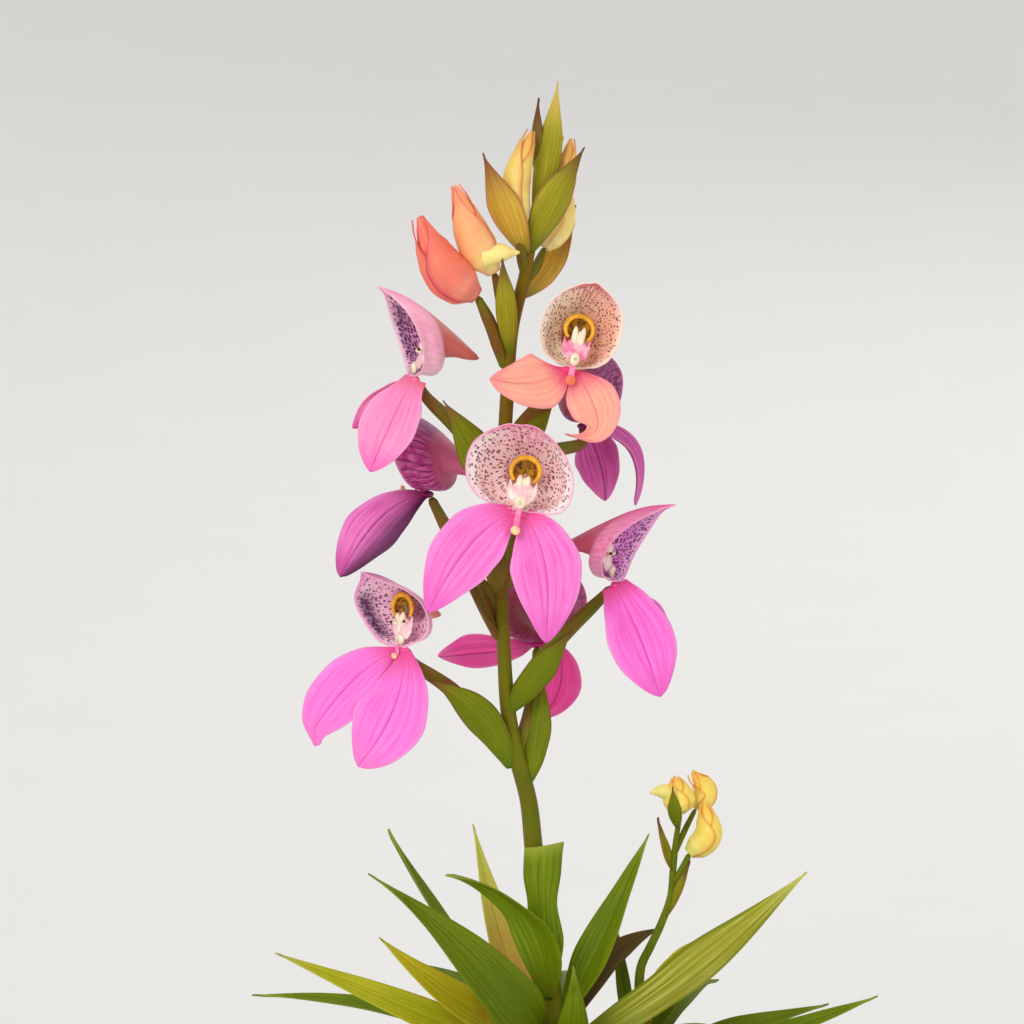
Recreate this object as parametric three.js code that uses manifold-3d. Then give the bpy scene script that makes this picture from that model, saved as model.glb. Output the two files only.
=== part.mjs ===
// Potted disa orchid: a tall flower stem with eight open blooms and its buds, a young side
// stem, two leaf rosettes and the nursery pot that they grow in.
// Units are millimetres. +Z is up, the front of the plant faces -Y, and the origin is the
// centre of the pot's underside.

import * as THREE from 'three';
import { mergeVertices } from 'three/addons/utils/BufferGeometryUtils.js';
import Module from 'manifold-3d';

const wasm = await Module();
wasm.setup();

// Pot and growing medium
const POT = {
  baseRadius: 36,
  shoulderRadius: 47.2,
  shoulderHeight: 80,
  rimRadius: 50,
  rimInnerRadius: 46.6,
  height: 90,
  wall: 1.3,
  floor: 2,
  sides: 32,
  notchCount: 6,
  notchWidth: 10,
  notchHeight: 5,
  notchDepth: 4.5,
};
const MEDIUM = { edgeHeight: 79, crownHeight: 85, gap: 0.3, sides: 30, holeDepth: 7, holeSides: 12 };

// Stems and the parts that spring from them
const CROWN = new THREE.Vector3(-4.4, 0, 79);
const SIDE_CROWN = new THREE.Vector3(18.3, 14, 79);
const STEM_HOLE = 4.6;
const SIDE_HOLE = 2.4;
const STEM_SIDES = 8;
const BRANCH_SIDES = 7;

// Blades
const PETAL_THICKNESS = 0.7;
const LEAF_THICKNESS = 0.8;
const BRACT_THICKNESS = 0.8;
const TIP_HALF_WIDTH = 0.35;

// Bloom
const HOOD = {
  halfWidth: 13.2,
  wall: 0.8,
  innerEnd: 0.8,
  around: 16,
  rings: 5,
  innerRings: 4,
  taper: 0.8,
  lowerRound: 0.78,
  beak: 0.1,
};
const SEPAL_ROOT = new THREE.Vector3(1.3, -0.9, -1.25);
const OVARY_TOP = new THREE.Vector3(0, 0.2, -2.6);
const OVARY_NECK = new THREE.Vector3(0, 1.8, -5.2);
const OVARY_RADIUS = 1.6;

const WELD = 1e-4;
const SLIVER = 0.06;
const UP = new THREE.Vector3(0, 0, 1);

const COLOURS = {
  pot: 0x26282b,
  medium: 0x3b2618,
  stem: 0x6d8420,
  leaf: 0x5f8f1c,
  leafYellow: 0xb4b52a,
  leafRust: 0xa8692e,
  pink: 0xee62c6,
  salmon: 0xf59a83,
  violet: 0xa8479c,
  hood: 0xf3b3cf,
  hoodSalmon: 0xf6cdbb,
  column: 0xf2e0b8,
  coral: 0xee7468,
  peach: 0xf3a66c,
  yellow: 0xf0d76c,
};

const plant = new THREE.Group();
plant.name = 'potted_disa_orchid';

const vec = (xyz) => new THREE.Vector3(...xyz);

function addPart(name, geometry, colour) {
  const material = new THREE.MeshStandardMaterial({ color: colour, roughness: 0.6 });
  const mesh = new THREE.Mesh(geometry, material);
  mesh.name = name;
  plant.add(mesh);
}

function toGeometry(positions, index) {
  const geometry = new THREE.BufferGeometry();
  geometry.setAttribute('position', new THREE.Float32BufferAttribute(positions, 3));
  geometry.setIndex(index);
  return geometry;
}

// Solids are joined and cut here. Only positions are kept.
function toSolid(geometry) {
  const bare = new THREE.BufferGeometry();
  bare.setAttribute('position', geometry.getAttribute('position').clone());
  if (geometry.index) bare.setIndex(geometry.index.clone());
  const welded = mergeVertices(bare, WELD);
  return new wasm.Manifold(new wasm.Mesh({
    numProp: 3,
    vertProperties: new Float32Array(welded.getAttribute('position').array),
    triVerts: new Uint32Array(welded.index.array),
  }));
}

function fromSolid(solid) {
  const mesh = solid.simplify(SLIVER).getMesh();
  return toGeometry(Array.from(mesh.vertProperties), Array.from(mesh.triVerts));
}

function join(geometries) {
  let solid = toSolid(geometries[0]);
  for (const geometry of geometries.slice(1)) solid = solid.add(toSolid(geometry));
  return fromSolid(solid);
}

function cut(geometry, tools) {
  let solid = toSolid(geometry);
  for (const tool of tools) solid = solid.subtract(toSolid(tool));
  return fromSolid(solid);
}

// A curve through three control points is quadratic and through four is cubic.
function bezier(points) {
  const controls = points.map((p) => (p.isVector3 ? p : vec(p)));
  if (controls.length === 3) return new THREE.QuadraticBezierCurve3(...controls);
  return new THREE.CubicBezierCurve3(...controls);
}

// Closed thin solid over a surface pointAt(u, v), u along it (0..1) and v across it (-1..1).
// Both faces are split into triangles alike, so the thickness holds when the surface waves.
function sheet(pointAt, rows, columns, thickness) {
  const step = 1e-3;
  const front = [];
  const back = [];
  for (let i = 0; i <= rows; i += 1) {
    for (let j = 0; j <= columns; j += 1) {
      const u = i / rows;
      const v = (2 * j) / columns - 1;
      const along = pointAt(Math.min(1, u + step), v).sub(pointAt(Math.max(0, u - step), v));
      const across = pointAt(u, v + step).sub(pointAt(u, v - step));
      const normal = along.cross(across).normalize();
      const point = pointAt(u, v);
      front.push(...point.clone().addScaledVector(normal, thickness / 2).toArray());
      back.push(...point.clone().addScaledVector(normal, -thickness / 2).toArray());
    }
  }
  const stride = columns + 1;
  const offset = (rows + 1) * stride;
  const index = [];
  const wall = (p, q) => index.push(p, q, q + offset, p, q + offset, p + offset);
  for (let i = 0; i < rows; i += 1) {
    for (let j = 0; j < columns; j += 1) {
      const a = i * stride + j;
      const b = a + stride;
      const c = b + 1;
      const d = a + 1;
      index.push(a, b, c, a, c, d);
      index.push(a + offset, c + offset, b + offset, a + offset, d + offset, c + offset);
      if (j === 0) wall(b, a);
      if (j === columns - 1) wall(d, c);
      if (i === 0) wall(a, d);
      if (i === rows - 1) wall(c, b);
    }
  }
  return toGeometry([...front, ...back], index);
}

// Half width of a blade at u: a narrow foot, a belly at `peak`, then a point.
function bladeHalfWidth(u, { width, foot = 0.25, peak = 0.4, rise = 0.9, point = 1 }) {
  const half = width / 2;
  if (u < peak) {
    const swell = Math.sin((Math.PI / 2) * (u / peak)) ** rise;
    return half * (foot + (1 - foot) * swell);
  }
  const fall = Math.cos((Math.PI / 2) * ((u - peak) / (1 - peak)));
  return Math.max(TIP_HALF_WIDTH, half * Math.max(0, fall) ** point);
}

// A leaf, sepal, bract or lip. `face` is the way its upper side looks and `channel` lifts the
// margins above the midrib.
function blade(path, shape) {
  const curve = bezier(path);
  const face = vec(shape.face).normalize();
  const { channel, rows, columns = 4, thickness = LEAF_THICKNESS } = shape;
  const pointAt = (u, v) => {
    const centre = curve.getPoint(u);
    const tangent = curve.getTangent(u);
    const side = tangent.clone().cross(face).normalize();
    const normal = side.clone().cross(tangent).normalize();
    const half = bladeHalfWidth(u, shape);
    return centre.addScaledVector(side, half * v).addScaledVector(normal, half * channel * v * v);
  };
  return sheet(pointAt, rows, columns, thickness);
}

// Round solid along a smooth path with a radius given at even steps of it.
function tube(path, radii, sides, rings) {
  const controls = path.map((p) => (p.isVector3 ? p : vec(p)));
  const curve = new THREE.CatmullRomCurve3(controls, false, 'centripetal');
  const frames = curve.computeFrenetFrames(rings, false);
  const positions = [];
  for (let i = 0; i <= rings; i += 1) {
    const t = (i / rings) * (radii.length - 1);
    const k = Math.min(Math.floor(t), radii.length - 2);
    const radius = THREE.MathUtils.lerp(radii[k], radii[k + 1], t - k);
    const centre = curve.getPointAt(i / rings);
    for (let j = 0; j < sides; j += 1) {
      const angle = (2 * Math.PI * j) / sides;
      const point = centre.clone()
        .addScaledVector(frames.normals[i], radius * Math.cos(angle))
        .addScaledVector(frames.binormals[i], radius * Math.sin(angle));
      positions.push(...point.toArray());
    }
  }
  const first = positions.length / 3;
  positions.push(...curve.getPointAt(0).toArray(), ...curve.getPointAt(1).toArray());
  const index = [];
  for (let j = 0; j < sides; j += 1) {
    const next = (j + 1) % sides;
    for (let i = 0; i < rings; i += 1) {
      const a = i * sides;
      const b = a + sides;
      index.push(a + j, a + next, b + next, a + j, b + next, b + j);
    }
    const last = rings * sides;
    index.push(first, next, j);
    index.push(first + 1, last + j, last + next);
  }
  return toGeometry(positions, index);
}

function lathe(profile, sides) {
  const points = profile.map(([r, z]) => new THREE.Vector2(r, z));
  return new THREE.LatheGeometry(points, sides).rotateX(Math.PI / 2);
}

// Pot: tapered body, rolled rim and drain notches round the foot
function makePot() {
  const { baseRadius, shoulderRadius, shoulderHeight, rimRadius, rimInnerRadius } = POT;
  const { height, wall, floor, sides } = POT;
  const profile = [
    [0, 0],
    [baseRadius - 0.8, 0],
    [baseRadius, 0.8],
    [shoulderRadius, shoulderHeight],
    [rimRadius, shoulderHeight + 1.2],
    [rimRadius, height - 1],
    [rimRadius - 1, height],
    [rimInnerRadius, height],
    [baseRadius - wall, floor],
    [0, floor],
  ];
  const notches = [];
  for (let i = 0; i < POT.notchCount; i += 1) {
    const notch = new THREE.BoxGeometry(2 * POT.notchDepth, POT.notchWidth, 2 * POT.notchHeight);
    notch.translate(baseRadius, 0, 0).rotateZ((2 * Math.PI * (i + 0.5)) / POT.notchCount);
    notches.push(notch);
  }
  return cut(lathe(profile, sides), notches);
}

// Growing medium: fills the pot to a low dome, with a plain hole for each stem
function makeMedium() {
  const { edgeHeight, crownHeight, gap, sides, holeDepth, holeSides } = MEDIUM;
  const bottom = POT.floor + gap;
  const slope = (POT.rimInnerRadius - POT.baseRadius + POT.wall) / (POT.height - POT.floor);
  const radiusAt = (z) => POT.baseRadius - POT.wall + slope * (z - POT.floor) - 1.5 * gap;
  const profile = [
    [0, bottom],
    [radiusAt(bottom), bottom],
    [radiusAt(edgeHeight), edgeHeight],
    [36, edgeHeight + 3],
    [22, crownHeight - 0.8],
    [0, crownHeight],
  ];
  const holes = [[CROWN, STEM_HOLE], [SIDE_CROWN, SIDE_HOLE]].map(([crown, radius]) => {
    const hole = new THREE.CylinderGeometry(radius, radius, 2 * holeDepth, holeSides);
    return hole.rotateX(Math.PI / 2).translate(crown.x, crown.y, crownHeight);
  });
  return cut(lathe(profile, sides), holes);
}

// Blooms. `at` is the point where hood, sepals and column meet. `heading` turns the bloom
// about the upright (0 faces the front, -90 the left), `tilt` nods it and `roll` leans it.
// Each sepal lists the control points that follow its foot, and the way its face looks.
const BLOOMS = [
  {
    at: [-37.9, -2, 264.3], heading: -76, size: 1, lip: [-3.8, -0.2], tone: 'pink',
    left: { path: [[-46.4, 3, 260.5], [-54.4, 2.6, 245]], face: [-0.5, 0.8, 0.35], width: 13 },
    right: { path: [[-44.4, -9.6, 257.6], [-48.4, -12, 240.5]], face: [-0.3, -1, 0.15], width: 17 },
    ovary: [[-17, 0, 234], [-25.5, 0, 248]],
  },
  {
    at: [-0.2, -12, 266.6], heading: 8, roll: 13, size: 0.98, hoodWidth: 0.76, lip: [-1.6, -5],
    tone: 'salmon',
    left: { path: [[-8, -18, 261.6], [-19.9, -22, 263.6]], face: [-0.1, -1, 0.3], width: 14 },
    right: {
      path: [[5, -18, 261], [12.6, -21, 245.6], [0.4, -17, 249]],
      face: [0.1, -1, 0.3], width: 12.4, peak: 0.4, point: 1.3,
    },
    ovary: [[-16.2, 0, 247], [-8, -5, 256]],
  },
  {
    at: [-35, 12, 235], heading: -115, size: 0.92, lip: [-4.6, -0.6], tone: 'violet',
    left: { path: [[-45.4, 26, 231.7], [-54.8, 31, 216]], face: [-0.5, 0.6, 0.6], width: 14 },
    right: { path: [[-48, 4, 232], [-57.6, 2, 213.6]], face: [-0.35, -0.8, 0.5], width: 15.6 },
    ovary: [[-17.6, 0, 198], [-25, 4, 214]],
  },
  {
    at: [-12.6, -20, 231.8], heading: -3, roll: 5, size: 1, lip: [-1.5, -7], tone: 'pink',
    left: { path: [[-25, -27, 227.4], [-35, -24, 206.6]], face: [-0.15, -1, 0.1], width: 16.5 },
    right: { path: [[-3.9, -25, 222], [-6.2, -22, 199.1]], face: [0.1, -1, 0], width: 17.4 },
    ovary: [[-17.4, 0, 208], [-15, -9, 220]],
  },
  {
    at: [10.9, -4, 213.4], heading: 70, tilt: 15, size: 1, ogive: 1.3, lip: [-2.2, 1],
    tone: 'pink',
    left: {
      path: [[16, -13, 205], [22.2, -13, 185]],
      face: [0.2, -1, 0.1], width: 17.6, peak: 0.57,
    },
    right: { path: [[19.1, 8, 209.9], [25.5, 9, 191]], face: [0.8, 0.5, 0.35], width: 14 },
    ovary: [[-15.2, 0, 183], [-4, -3, 197]],
  },
  {
    at: [4, 16, 252.2], heading: 160, size: 0.85, lip: [-3, 0.4], tone: 'violet',
    left: {
      path: [[12, 19, 250], [21.6, 25, 246], [17, 20, 230.7]],
      face: [0.9, 0.1, 0.4], width: 11,
    },
    right: { path: [[8.4, 25, 244], [9.4, 24, 231.6]], face: [-0.3, 1, 0.1], width: 12 },
    ovary: [[-16.5, 0, 232], [-6, 5, 244]],
  },
  {
    at: [-41.4, -8, 197.4], heading: -50, tilt: 12, size: 0.95, hoodWidth: 0.88, ogive: 1.35,
    lip: [-3.4, -1.6], tone: 'pink',
    left: { path: [[-55, -14, 191.6], [-65.4, -14, 174.1]], face: [-0.3, -1, 0.2], width: 15 },
    right: { path: [[-40.6, -20, 182], [-52.3, -20, 168.6]], face: [-0.2, -1, 0.15], width: 18 },
    ovary: [[-16.6, 0, 172], [-30, -3, 186]],
  },
  {
    at: [-8.1, 18, 196.3], heading: 180, size: 0.95, lip: [-2, -6], tone: 'pink',
    left: {
      path: [[-0.5, 27, 196], [0.9, 30, 179], [-8.2, 25, 175.6]],
      face: [0.5, 0.8, 0.3], width: 12, point: 1,
    },
    right: { path: [[-20.2, 26.6, 192.4], [-33.6, 28, 191.4]], face: [0, 0.7, 0.7], width: 13.4 },
    ovary: [[-13.6, 1, 167], [-9, 7, 182]],
  },
];

const TONES = {
  pink: { hood: COLOURS.hood, sepals: COLOURS.pink },
  salmon: { hood: COLOURS.hoodSalmon, sepals: COLOURS.salmon },
  violet: { hood: COLOURS.violet, sepals: COLOURS.violet },
};

function bloomFrame({ at, heading, roll = 0, tilt = 0 }) {
  const toRadians = THREE.MathUtils.degToRad;
  const turn = new THREE.Euler(toRadians(tilt), toRadians(roll), toRadians(heading), 'ZXY');
  return new THREE.Matrix4().makeRotationFromEuler(turn).setPosition(...at);
}

// Hood: a funnel that opens forward and runs back into the pointed spur
function makeHood({ size, hoodWidth = 1, ogive = 1 }) {
  const crest = bezier([[0, -8.5, 20.5], [0, 0, 18], [0, 6, 11.5], [0, 15.5, 4.6]]);
  const keel = bezier([[0, -1.5, 0], [0, 3.5, 0], [0, 7, 3], [0, 15.5, 3.6]]);
  const ringPoint = (angle, v, inset) => {
    const top = crest.getPoint(v);
    const foot = keel.getPoint(v);
    const centre = top.clone().add(foot).multiplyScalar(0.5);
    const rise = top.clone().sub(foot).multiplyScalar(0.5);
    const height = rise.length() - inset;
    const width = Math.max(0.5, HOOD.halfWidth * hoodWidth * (1 - v) ** HOOD.taper) - inset;
    const up = -Math.cos(angle);
    const out = Math.sin(angle);
    const round = up < 0 ? HOOD.lowerRound : 1;
    const beak = 1 + (up > 0 ? HOOD.beak * up ** 14 * (1 - v) : 0);
    const x = width * Math.sign(out) * Math.abs(out) ** (up < 0 ? round : ogive);
    const along = height * beak * Math.sign(up) * Math.abs(up) ** round;
    return centre.addScaledVector(rise.normalize(), along).add(new THREE.Vector3(x, 0, 0));
  };
  const positions = [];
  const addRing = (v, inset) => {
    for (let j = 0; j < HOOD.around; j += 1) {
      positions.push(...ringPoint((2 * Math.PI * j) / HOOD.around, v, inset).toArray());
    }
  };
  for (let i = 0; i < HOOD.rings; i += 1) addRing(i / HOOD.rings, 0);
  for (let i = 0; i < HOOD.innerRings; i += 1) {
    addRing((HOOD.innerEnd * i) / HOOD.innerRings, HOOD.wall);
  }
  const tip = positions.length / 3;
  const innerMiddle = crest.getPoint(HOOD.innerEnd).add(keel.getPoint(HOOD.innerEnd));
  positions.push(...crest.getPoint(1).toArray(), ...innerMiddle.multiplyScalar(0.5).toArray());
  const index = [];
  const band = (a, b, c, d) => index.push(a, c, b, a, d, c);
  const innerStart = HOOD.rings * HOOD.around;
  for (let j = 0; j < HOOD.around; j += 1) {
    const next = (j + 1) % HOOD.around;
    for (let i = 0; i < HOOD.rings - 1; i += 1) {
      const near = i * HOOD.around;
      const far = near + HOOD.around;
      band(near + j, near + next, far + next, far + j);
    }
    for (let i = 0; i < HOOD.innerRings - 1; i += 1) {
      const near = innerStart + i * HOOD.around;
      const far = near + HOOD.around;
      band(near + next, near + j, far + j, far + next);
    }
    band(innerStart + j, innerStart + next, next, j);
    const lastOuter = (HOOD.rings - 1) * HOOD.around;
    const lastInner = innerStart + (HOOD.innerRings - 1) * HOOD.around;
    index.push(lastOuter + next, lastOuter + j, tip);
    index.push(lastInner + j, lastInner + next, tip + 1);
  }
  return toGeometry(positions, index).scale(size, size, size);
}

// Column: white body with two anther lobes and a stigma knob, under the yellow arch of the
// small petals, and the narrow lip that hangs in front
function makeColumn(size, lip) {
  const body = tube(
    [[0, -4.7, 0.2], [0, -3.6, 1], [0, -2.4, 2.4], [0, -1.6, 4], [0, -1.6, 6.2]],
    [0.7, 1.3, 1, 1.5, 2.1, 2.3, 1.4],
    6,
    5,
  );
  const lobes = [-1, 1].map((side) => tube(
    [[0.9 * side, -1.8, 5], [1.3 * side, -2.2, 7.4], [1.5 * side, -3.2, 9.6]],
    [0.8, 0.75, 0.45],
    5,
    2,
  ));
  const arch = sheet((u, v) => {
    const angle = Math.PI * (1.56 * u - 0.28);
    const depth = (v + 1) / 2;
    return new THREE.Vector3(
      (1.9 * depth - 4.4) * Math.cos(angle),
      -3.2 + 2.6 * depth,
      7.4 + (4.9 - 2 * depth) * Math.sin(angle),
    );
  }, 8, 1, 0.9);
  const tongue = blade([[0, -4.2, 0.6], [0, -4.6, -1.2], [0, lip[0] - 4, lip[1]]], {
    width: 2, face: [0, -1, 0.2], foot: 0.6, peak: 0.7, channel: 0, rows: 3, columns: 1,
    thickness: PETAL_THICKNESS,
  });
  return join([body, ...lobes, arch, tongue]).scale(size, size, size);
}

// Sepals: a pair of broad blades on one short plate below the hood
function makeSepals(bloom, frame) {
  const plate = new THREE.BoxGeometry(4.6, 2.5, 1.7).translate(0, -0.9, -1.25).applyMatrix4(frame);
  const blades = ['left', 'right'].map((name) => {
    const sepal = bloom[name];
    const side = name === 'left' ? -1 : 1;
    const root = SEPAL_ROOT.clone().multiply(new THREE.Vector3(side, 1, 1)).applyMatrix4(frame);
    return blade([root, ...sepal.path], {
      foot: 0.14, peak: 0.52, rise: 1.15, point: 0.72, channel: 0.12, rows: 7,
      thickness: PETAL_THICKNESS, ...sepal,
    });
  });
  return join([plate, ...blades]);
}

const ovaries = [];
BLOOMS.forEach((bloom, i) => {
  const name = `bloom_${i + 1}`;
  const frame = bloomFrame(bloom);
  const tone = TONES[bloom.tone];
  addPart(`${name}_hood`, makeHood(bloom).applyMatrix4(frame), tone.hood);
  addPart(`${name}_sepals`, makeSepals(bloom, frame), tone.sepals);
  addPart(`${name}_column`, makeColumn(bloom.size, bloom.lip).applyMatrix4(frame), COLOURS.column);
  const top = OVARY_TOP.clone().applyMatrix4(frame);
  const neck = OVARY_NECK.clone().applyMatrix4(frame);
  const path = [...bloom.ovary.map(vec), neck, top];
  ovaries.push(tube(path, [1.3, 1.8, 1.9, OVARY_RADIUS, 0.9], BRANCH_SIDES, 5));
});

// Buds: `path` runs from foot to point
const BUDS = [
  {
    name: 'bud_coral', colour: COLOURS.coral, radius: 4.7, spur: null,
    path: [[-23.4, -6, 283.9], [-30.8, -8, 289.5], [-37.6, -10, 303.2]],
  },
  {
    name: 'bud_peach', colour: COLOURS.peach, radius: 3.9,
    path: [[-19, -5, 289.8], [-23.5, -7, 297.6], [-28.5, -9, 311.1]],
    spur: [[-20.8, -6.2, 294.2], [-17, -5.8, 294.8], [-13, -5.4, 294.8]],
  },
  {
    name: 'bud_yellow_left', colour: COLOURS.yellow, radius: 3.2, spur: null,
    path: [[-12.4, -4.8, 302.1], [-13.4, -5.2, 311.3], [-9.6, -4, 324.7]],
  },
  {
    name: 'bud_yellow_right', colour: COLOURS.yellow, radius: 3, spur: null,
    path: [[-4.6, 2.6, 303.4], [-1.6, 3.4, 313.5], [0.2, 3, 323.2]],
  },
  {
    name: 'bud_yellow_back', colour: COLOURS.yellow, radius: 2.9, spur: null,
    path: [[-6.2, 8, 296], [-1.9, 9, 302.3], [-0.2, 10, 310.6]],
  },
  {
    name: 'side_bud_left', colour: COLOURS.yellow, radius: 3.4,
    path: [[28.5, 13, 152.8], [28, 12.4, 157.4], [27, 12, 162]],
    spur: [[27.2, 12.4, 157.4], [23, 12, 158.4], [19, 12, 157.4]],
  },
  {
    name: 'side_bud_right', colour: COLOURS.yellow, radius: 2.7, spur: null,
    path: [[32.6, 17, 153], [35, 17.4, 157.4], [31.4, 16, 162.6]],
  },
  {
    name: 'side_bud_low', colour: COLOURS.yellow, radius: 3.3, spur: null,
    path: [[30.8, 11.5, 142.4], [35.4, 11, 147], [34.4, 11, 155.4]],
  },
];

for (const bud of BUDS) {
  const profile = [0.35, 0.85, 1, 0.98, 0.8, 0.5, 0.12].map((part) => part * bud.radius);
  const body = tube(bud.path, profile, 9, 7);
  const spur = bud.spur && tube(bud.spur, [0.85, 0.5, 0.12].map((p) => p * bud.radius), 6, 3);
  addPart(bud.name, spur ? join([body, spur]) : body, bud.colour);
}

// Main stem: leafy foot, slender spike, ovaries, bud stalks and bracts in one growth
const MAIN_STEM = [
  [-4.4, 0, 79], [-4.5, 0, 92], [-4.7, 0, 107], [-6.7, 0, 126], [-9, 0, 145], [-10.4, 0, 157.6],
  [-13.4, 0, 169], [-15.5, 0, 180.3], [-16.4, 0, 192.9], [-17.3, 0, 218], [-16.8, 0, 238],
  [-15.8, 0, 258], [-14.5, 0, 275.4], [-11.3, 0, 289.1], [-9.2, 0, 300.3], [-7.3, 0, 310.2],
  [-5.8, 0, 320.1], [-5, 0, 329],
];
const MAIN_RADII = [4, 3.4, 2.6, 2.4, 2.3, 2.1, 1.9, 1.6, 1.5, 1.5, 1.45, 1.4, 1.3, 1.2, 1, 0.6];
const BUD_STALKS = [
  { path: [[-16.2, 0, 266], [-19.5, -2.5, 276], [-23, -5.7, 283]], radii: [1.2, 1.6, 1.5, 0.8] },
  { path: [[-14.7, 0, 272], [-17, -3, 282], [-18.9, -4.9, 288.9]], radii: [1.1, 1.4, 1.3, 0.7] },
  { path: [[-11.4, 0, 289], [-12.2, -2.8, 295], [-12.4, -4.7, 301.1]], radii: [1, 1.3, 1.2, 0.6] },
  { path: [[-9.4, 0, 299], [-7, 1.6, 300.6], [-4.9, 2.4, 302.6]], radii: [1, 1.1, 0.9, 0.6] },
  { path: [[-11, 0, 288], [-8.4, 4.5, 291.4], [-6.5, 7.8, 295.1]], radii: [1.1, 1.3, 1.1, 0.6] },
];
const BRACTS = [
  { path: [[-8.6, -1, 304], [-5.4, -2.6, 318], [-3.1, -0.6, 337]], face: [0.2, 1, 0], width: 6.4 },
  { path: [[-8, 0, 312], [-9.2, -0.5, 322], [-7.8, -0.6, 333]], face: [0.6, 0.8, 0], width: 3.6 },
  { path: [[-11.6, -1, 294.4], [-16.6, -12, 302], [-21.6, -8, 319]], face: [0.5, 0.9, 0.2], width: 9 },
  { path: [[-10, -1.6, 295], [-4.6, -7, 306], [3.4, -4, 320.6]], face: [-0.3, 0.9, 0.4], width: 9 },
  { path: [[-12.2, 0.3, 283.4], [-3.4, 13, 287], [1.6, 15.4, 307]], face: [-0.4, -0.9, 0.4], width: 7 },
  { path: [[-15, -1, 269], [-16, -8, 280], [-16.9, -9, 293.6]], face: [0.1, 0.9, 0.3], width: 5.4 },
  { path: [[-16.8, 0, 236], [-24, -3, 246], [-31.6, -4.5, 258]], face: [0.6, -0.9, 0.8], width: 10 },
  { path: [[-16, -0.5, 248], [-9.5, -3.5, 251], [-4, -6.5, 257.6]], face: [-0.6, -0.9, 0.8], width: 7 },
  { path: [[-17.4, 0, 200], [-23, 0, 208], [-27, 3, 219]], face: [0.8, -0.7, 0.6], width: 8 },
  { path: [[-17.4, -0.6, 209], [-17.4, -7, 213], [-15, -13.5, 225]], face: [0, 0.4, 1], width: 8 },
  { path: [[-15, 0, 184], [-6, -3.5, 190], [0.6, -4.4, 202]], face: [-0.6, -0.9, 0.8], width: 8 },
  { path: [[-16.6, 0, 172.4], [-28, -5, 178], [-35, -5.4, 192]], face: [0.6, -0.9, 0.8], width: 10.5 },
  { path: [[-12.6, 1, 164], [-6.4, 3.6, 173], [-7, 8, 190]], face: [-0.5, -0.9, 0.3], width: 8 },
  { path: [[-16.6, 0.6, 233], [-10, 5, 236], [-3.6, 8, 245]], face: [-0.6, 0.3, 0.9], width: 7 },
];

function makeBract({ path, face, width }) {
  return blade(path, {
    face, width, foot: 0.35, peak: 0.35, point: 1.25, channel: 0.5, rows: 5, columns: 2,
    thickness: BRACT_THICKNESS,
  });
}

const mainPieces = [tube(MAIN_STEM, MAIN_RADII, STEM_SIDES, 26), ...ovaries];
for (const { path, radii } of BUD_STALKS) mainPieces.push(tube(path, radii, 5, 4));
mainPieces.push(...BRACTS.map(makeBract));
addPart('main_stem', join(mainPieces), COLOURS.stem);

// Side stem: a slender young spike that forks below its buds
const SIDE_STEM = [
  [18.3, 14, 79], [18.3, 14, 98], [18.4, 14, 112.6], [20.8, 14, 118], [23.6, 14, 124],
  [26, 14, 131], [26.6, 14, 138], [27.4, 14, 146], [28.4, 13.2, 152],
];
const SIDE_RADII = [1.9, 1.7, 1.6, 1.3, 1.15, 1, 0.7];
const SIDE_BRACTS = [
  { path: [[26.4, 13.6, 138], [23.6, 12.4, 143], [22.7, 12.6, 151.5]], face: [1, -0.5, 0], width: 4 },
  { path: [[24.6, 13.6, 126], [28.4, 12.4, 131], [30.6, 9.6, 141]], face: [-1, -0.6, 0.3], width: 4 },
  { path: [[27.7, 13.3, 146.6], [25.4, 5.6, 152], [26.2, 7.4, 160]], face: [0.1, 1, 0.2], width: 5 },
];
const sidePieces = [
  tube(SIDE_STEM, SIDE_RADII, BRANCH_SIDES, 14),
  tube([[26.6, 14, 134], [28.8, 12.8, 138], [30.4, 11.8, 141.6]], [0.9, 1, 0.6], 6, 4),
  tube([[27, 14, 142], [29.6, 16, 147.6], [32.2, 16.8, 152.4]], [0.7, 0.8, 0.6], 6, 4),
  ...SIDE_BRACTS.map(makeBract),
];
addPart('side_stem', join(sidePieces), COLOURS.stem);

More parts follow.
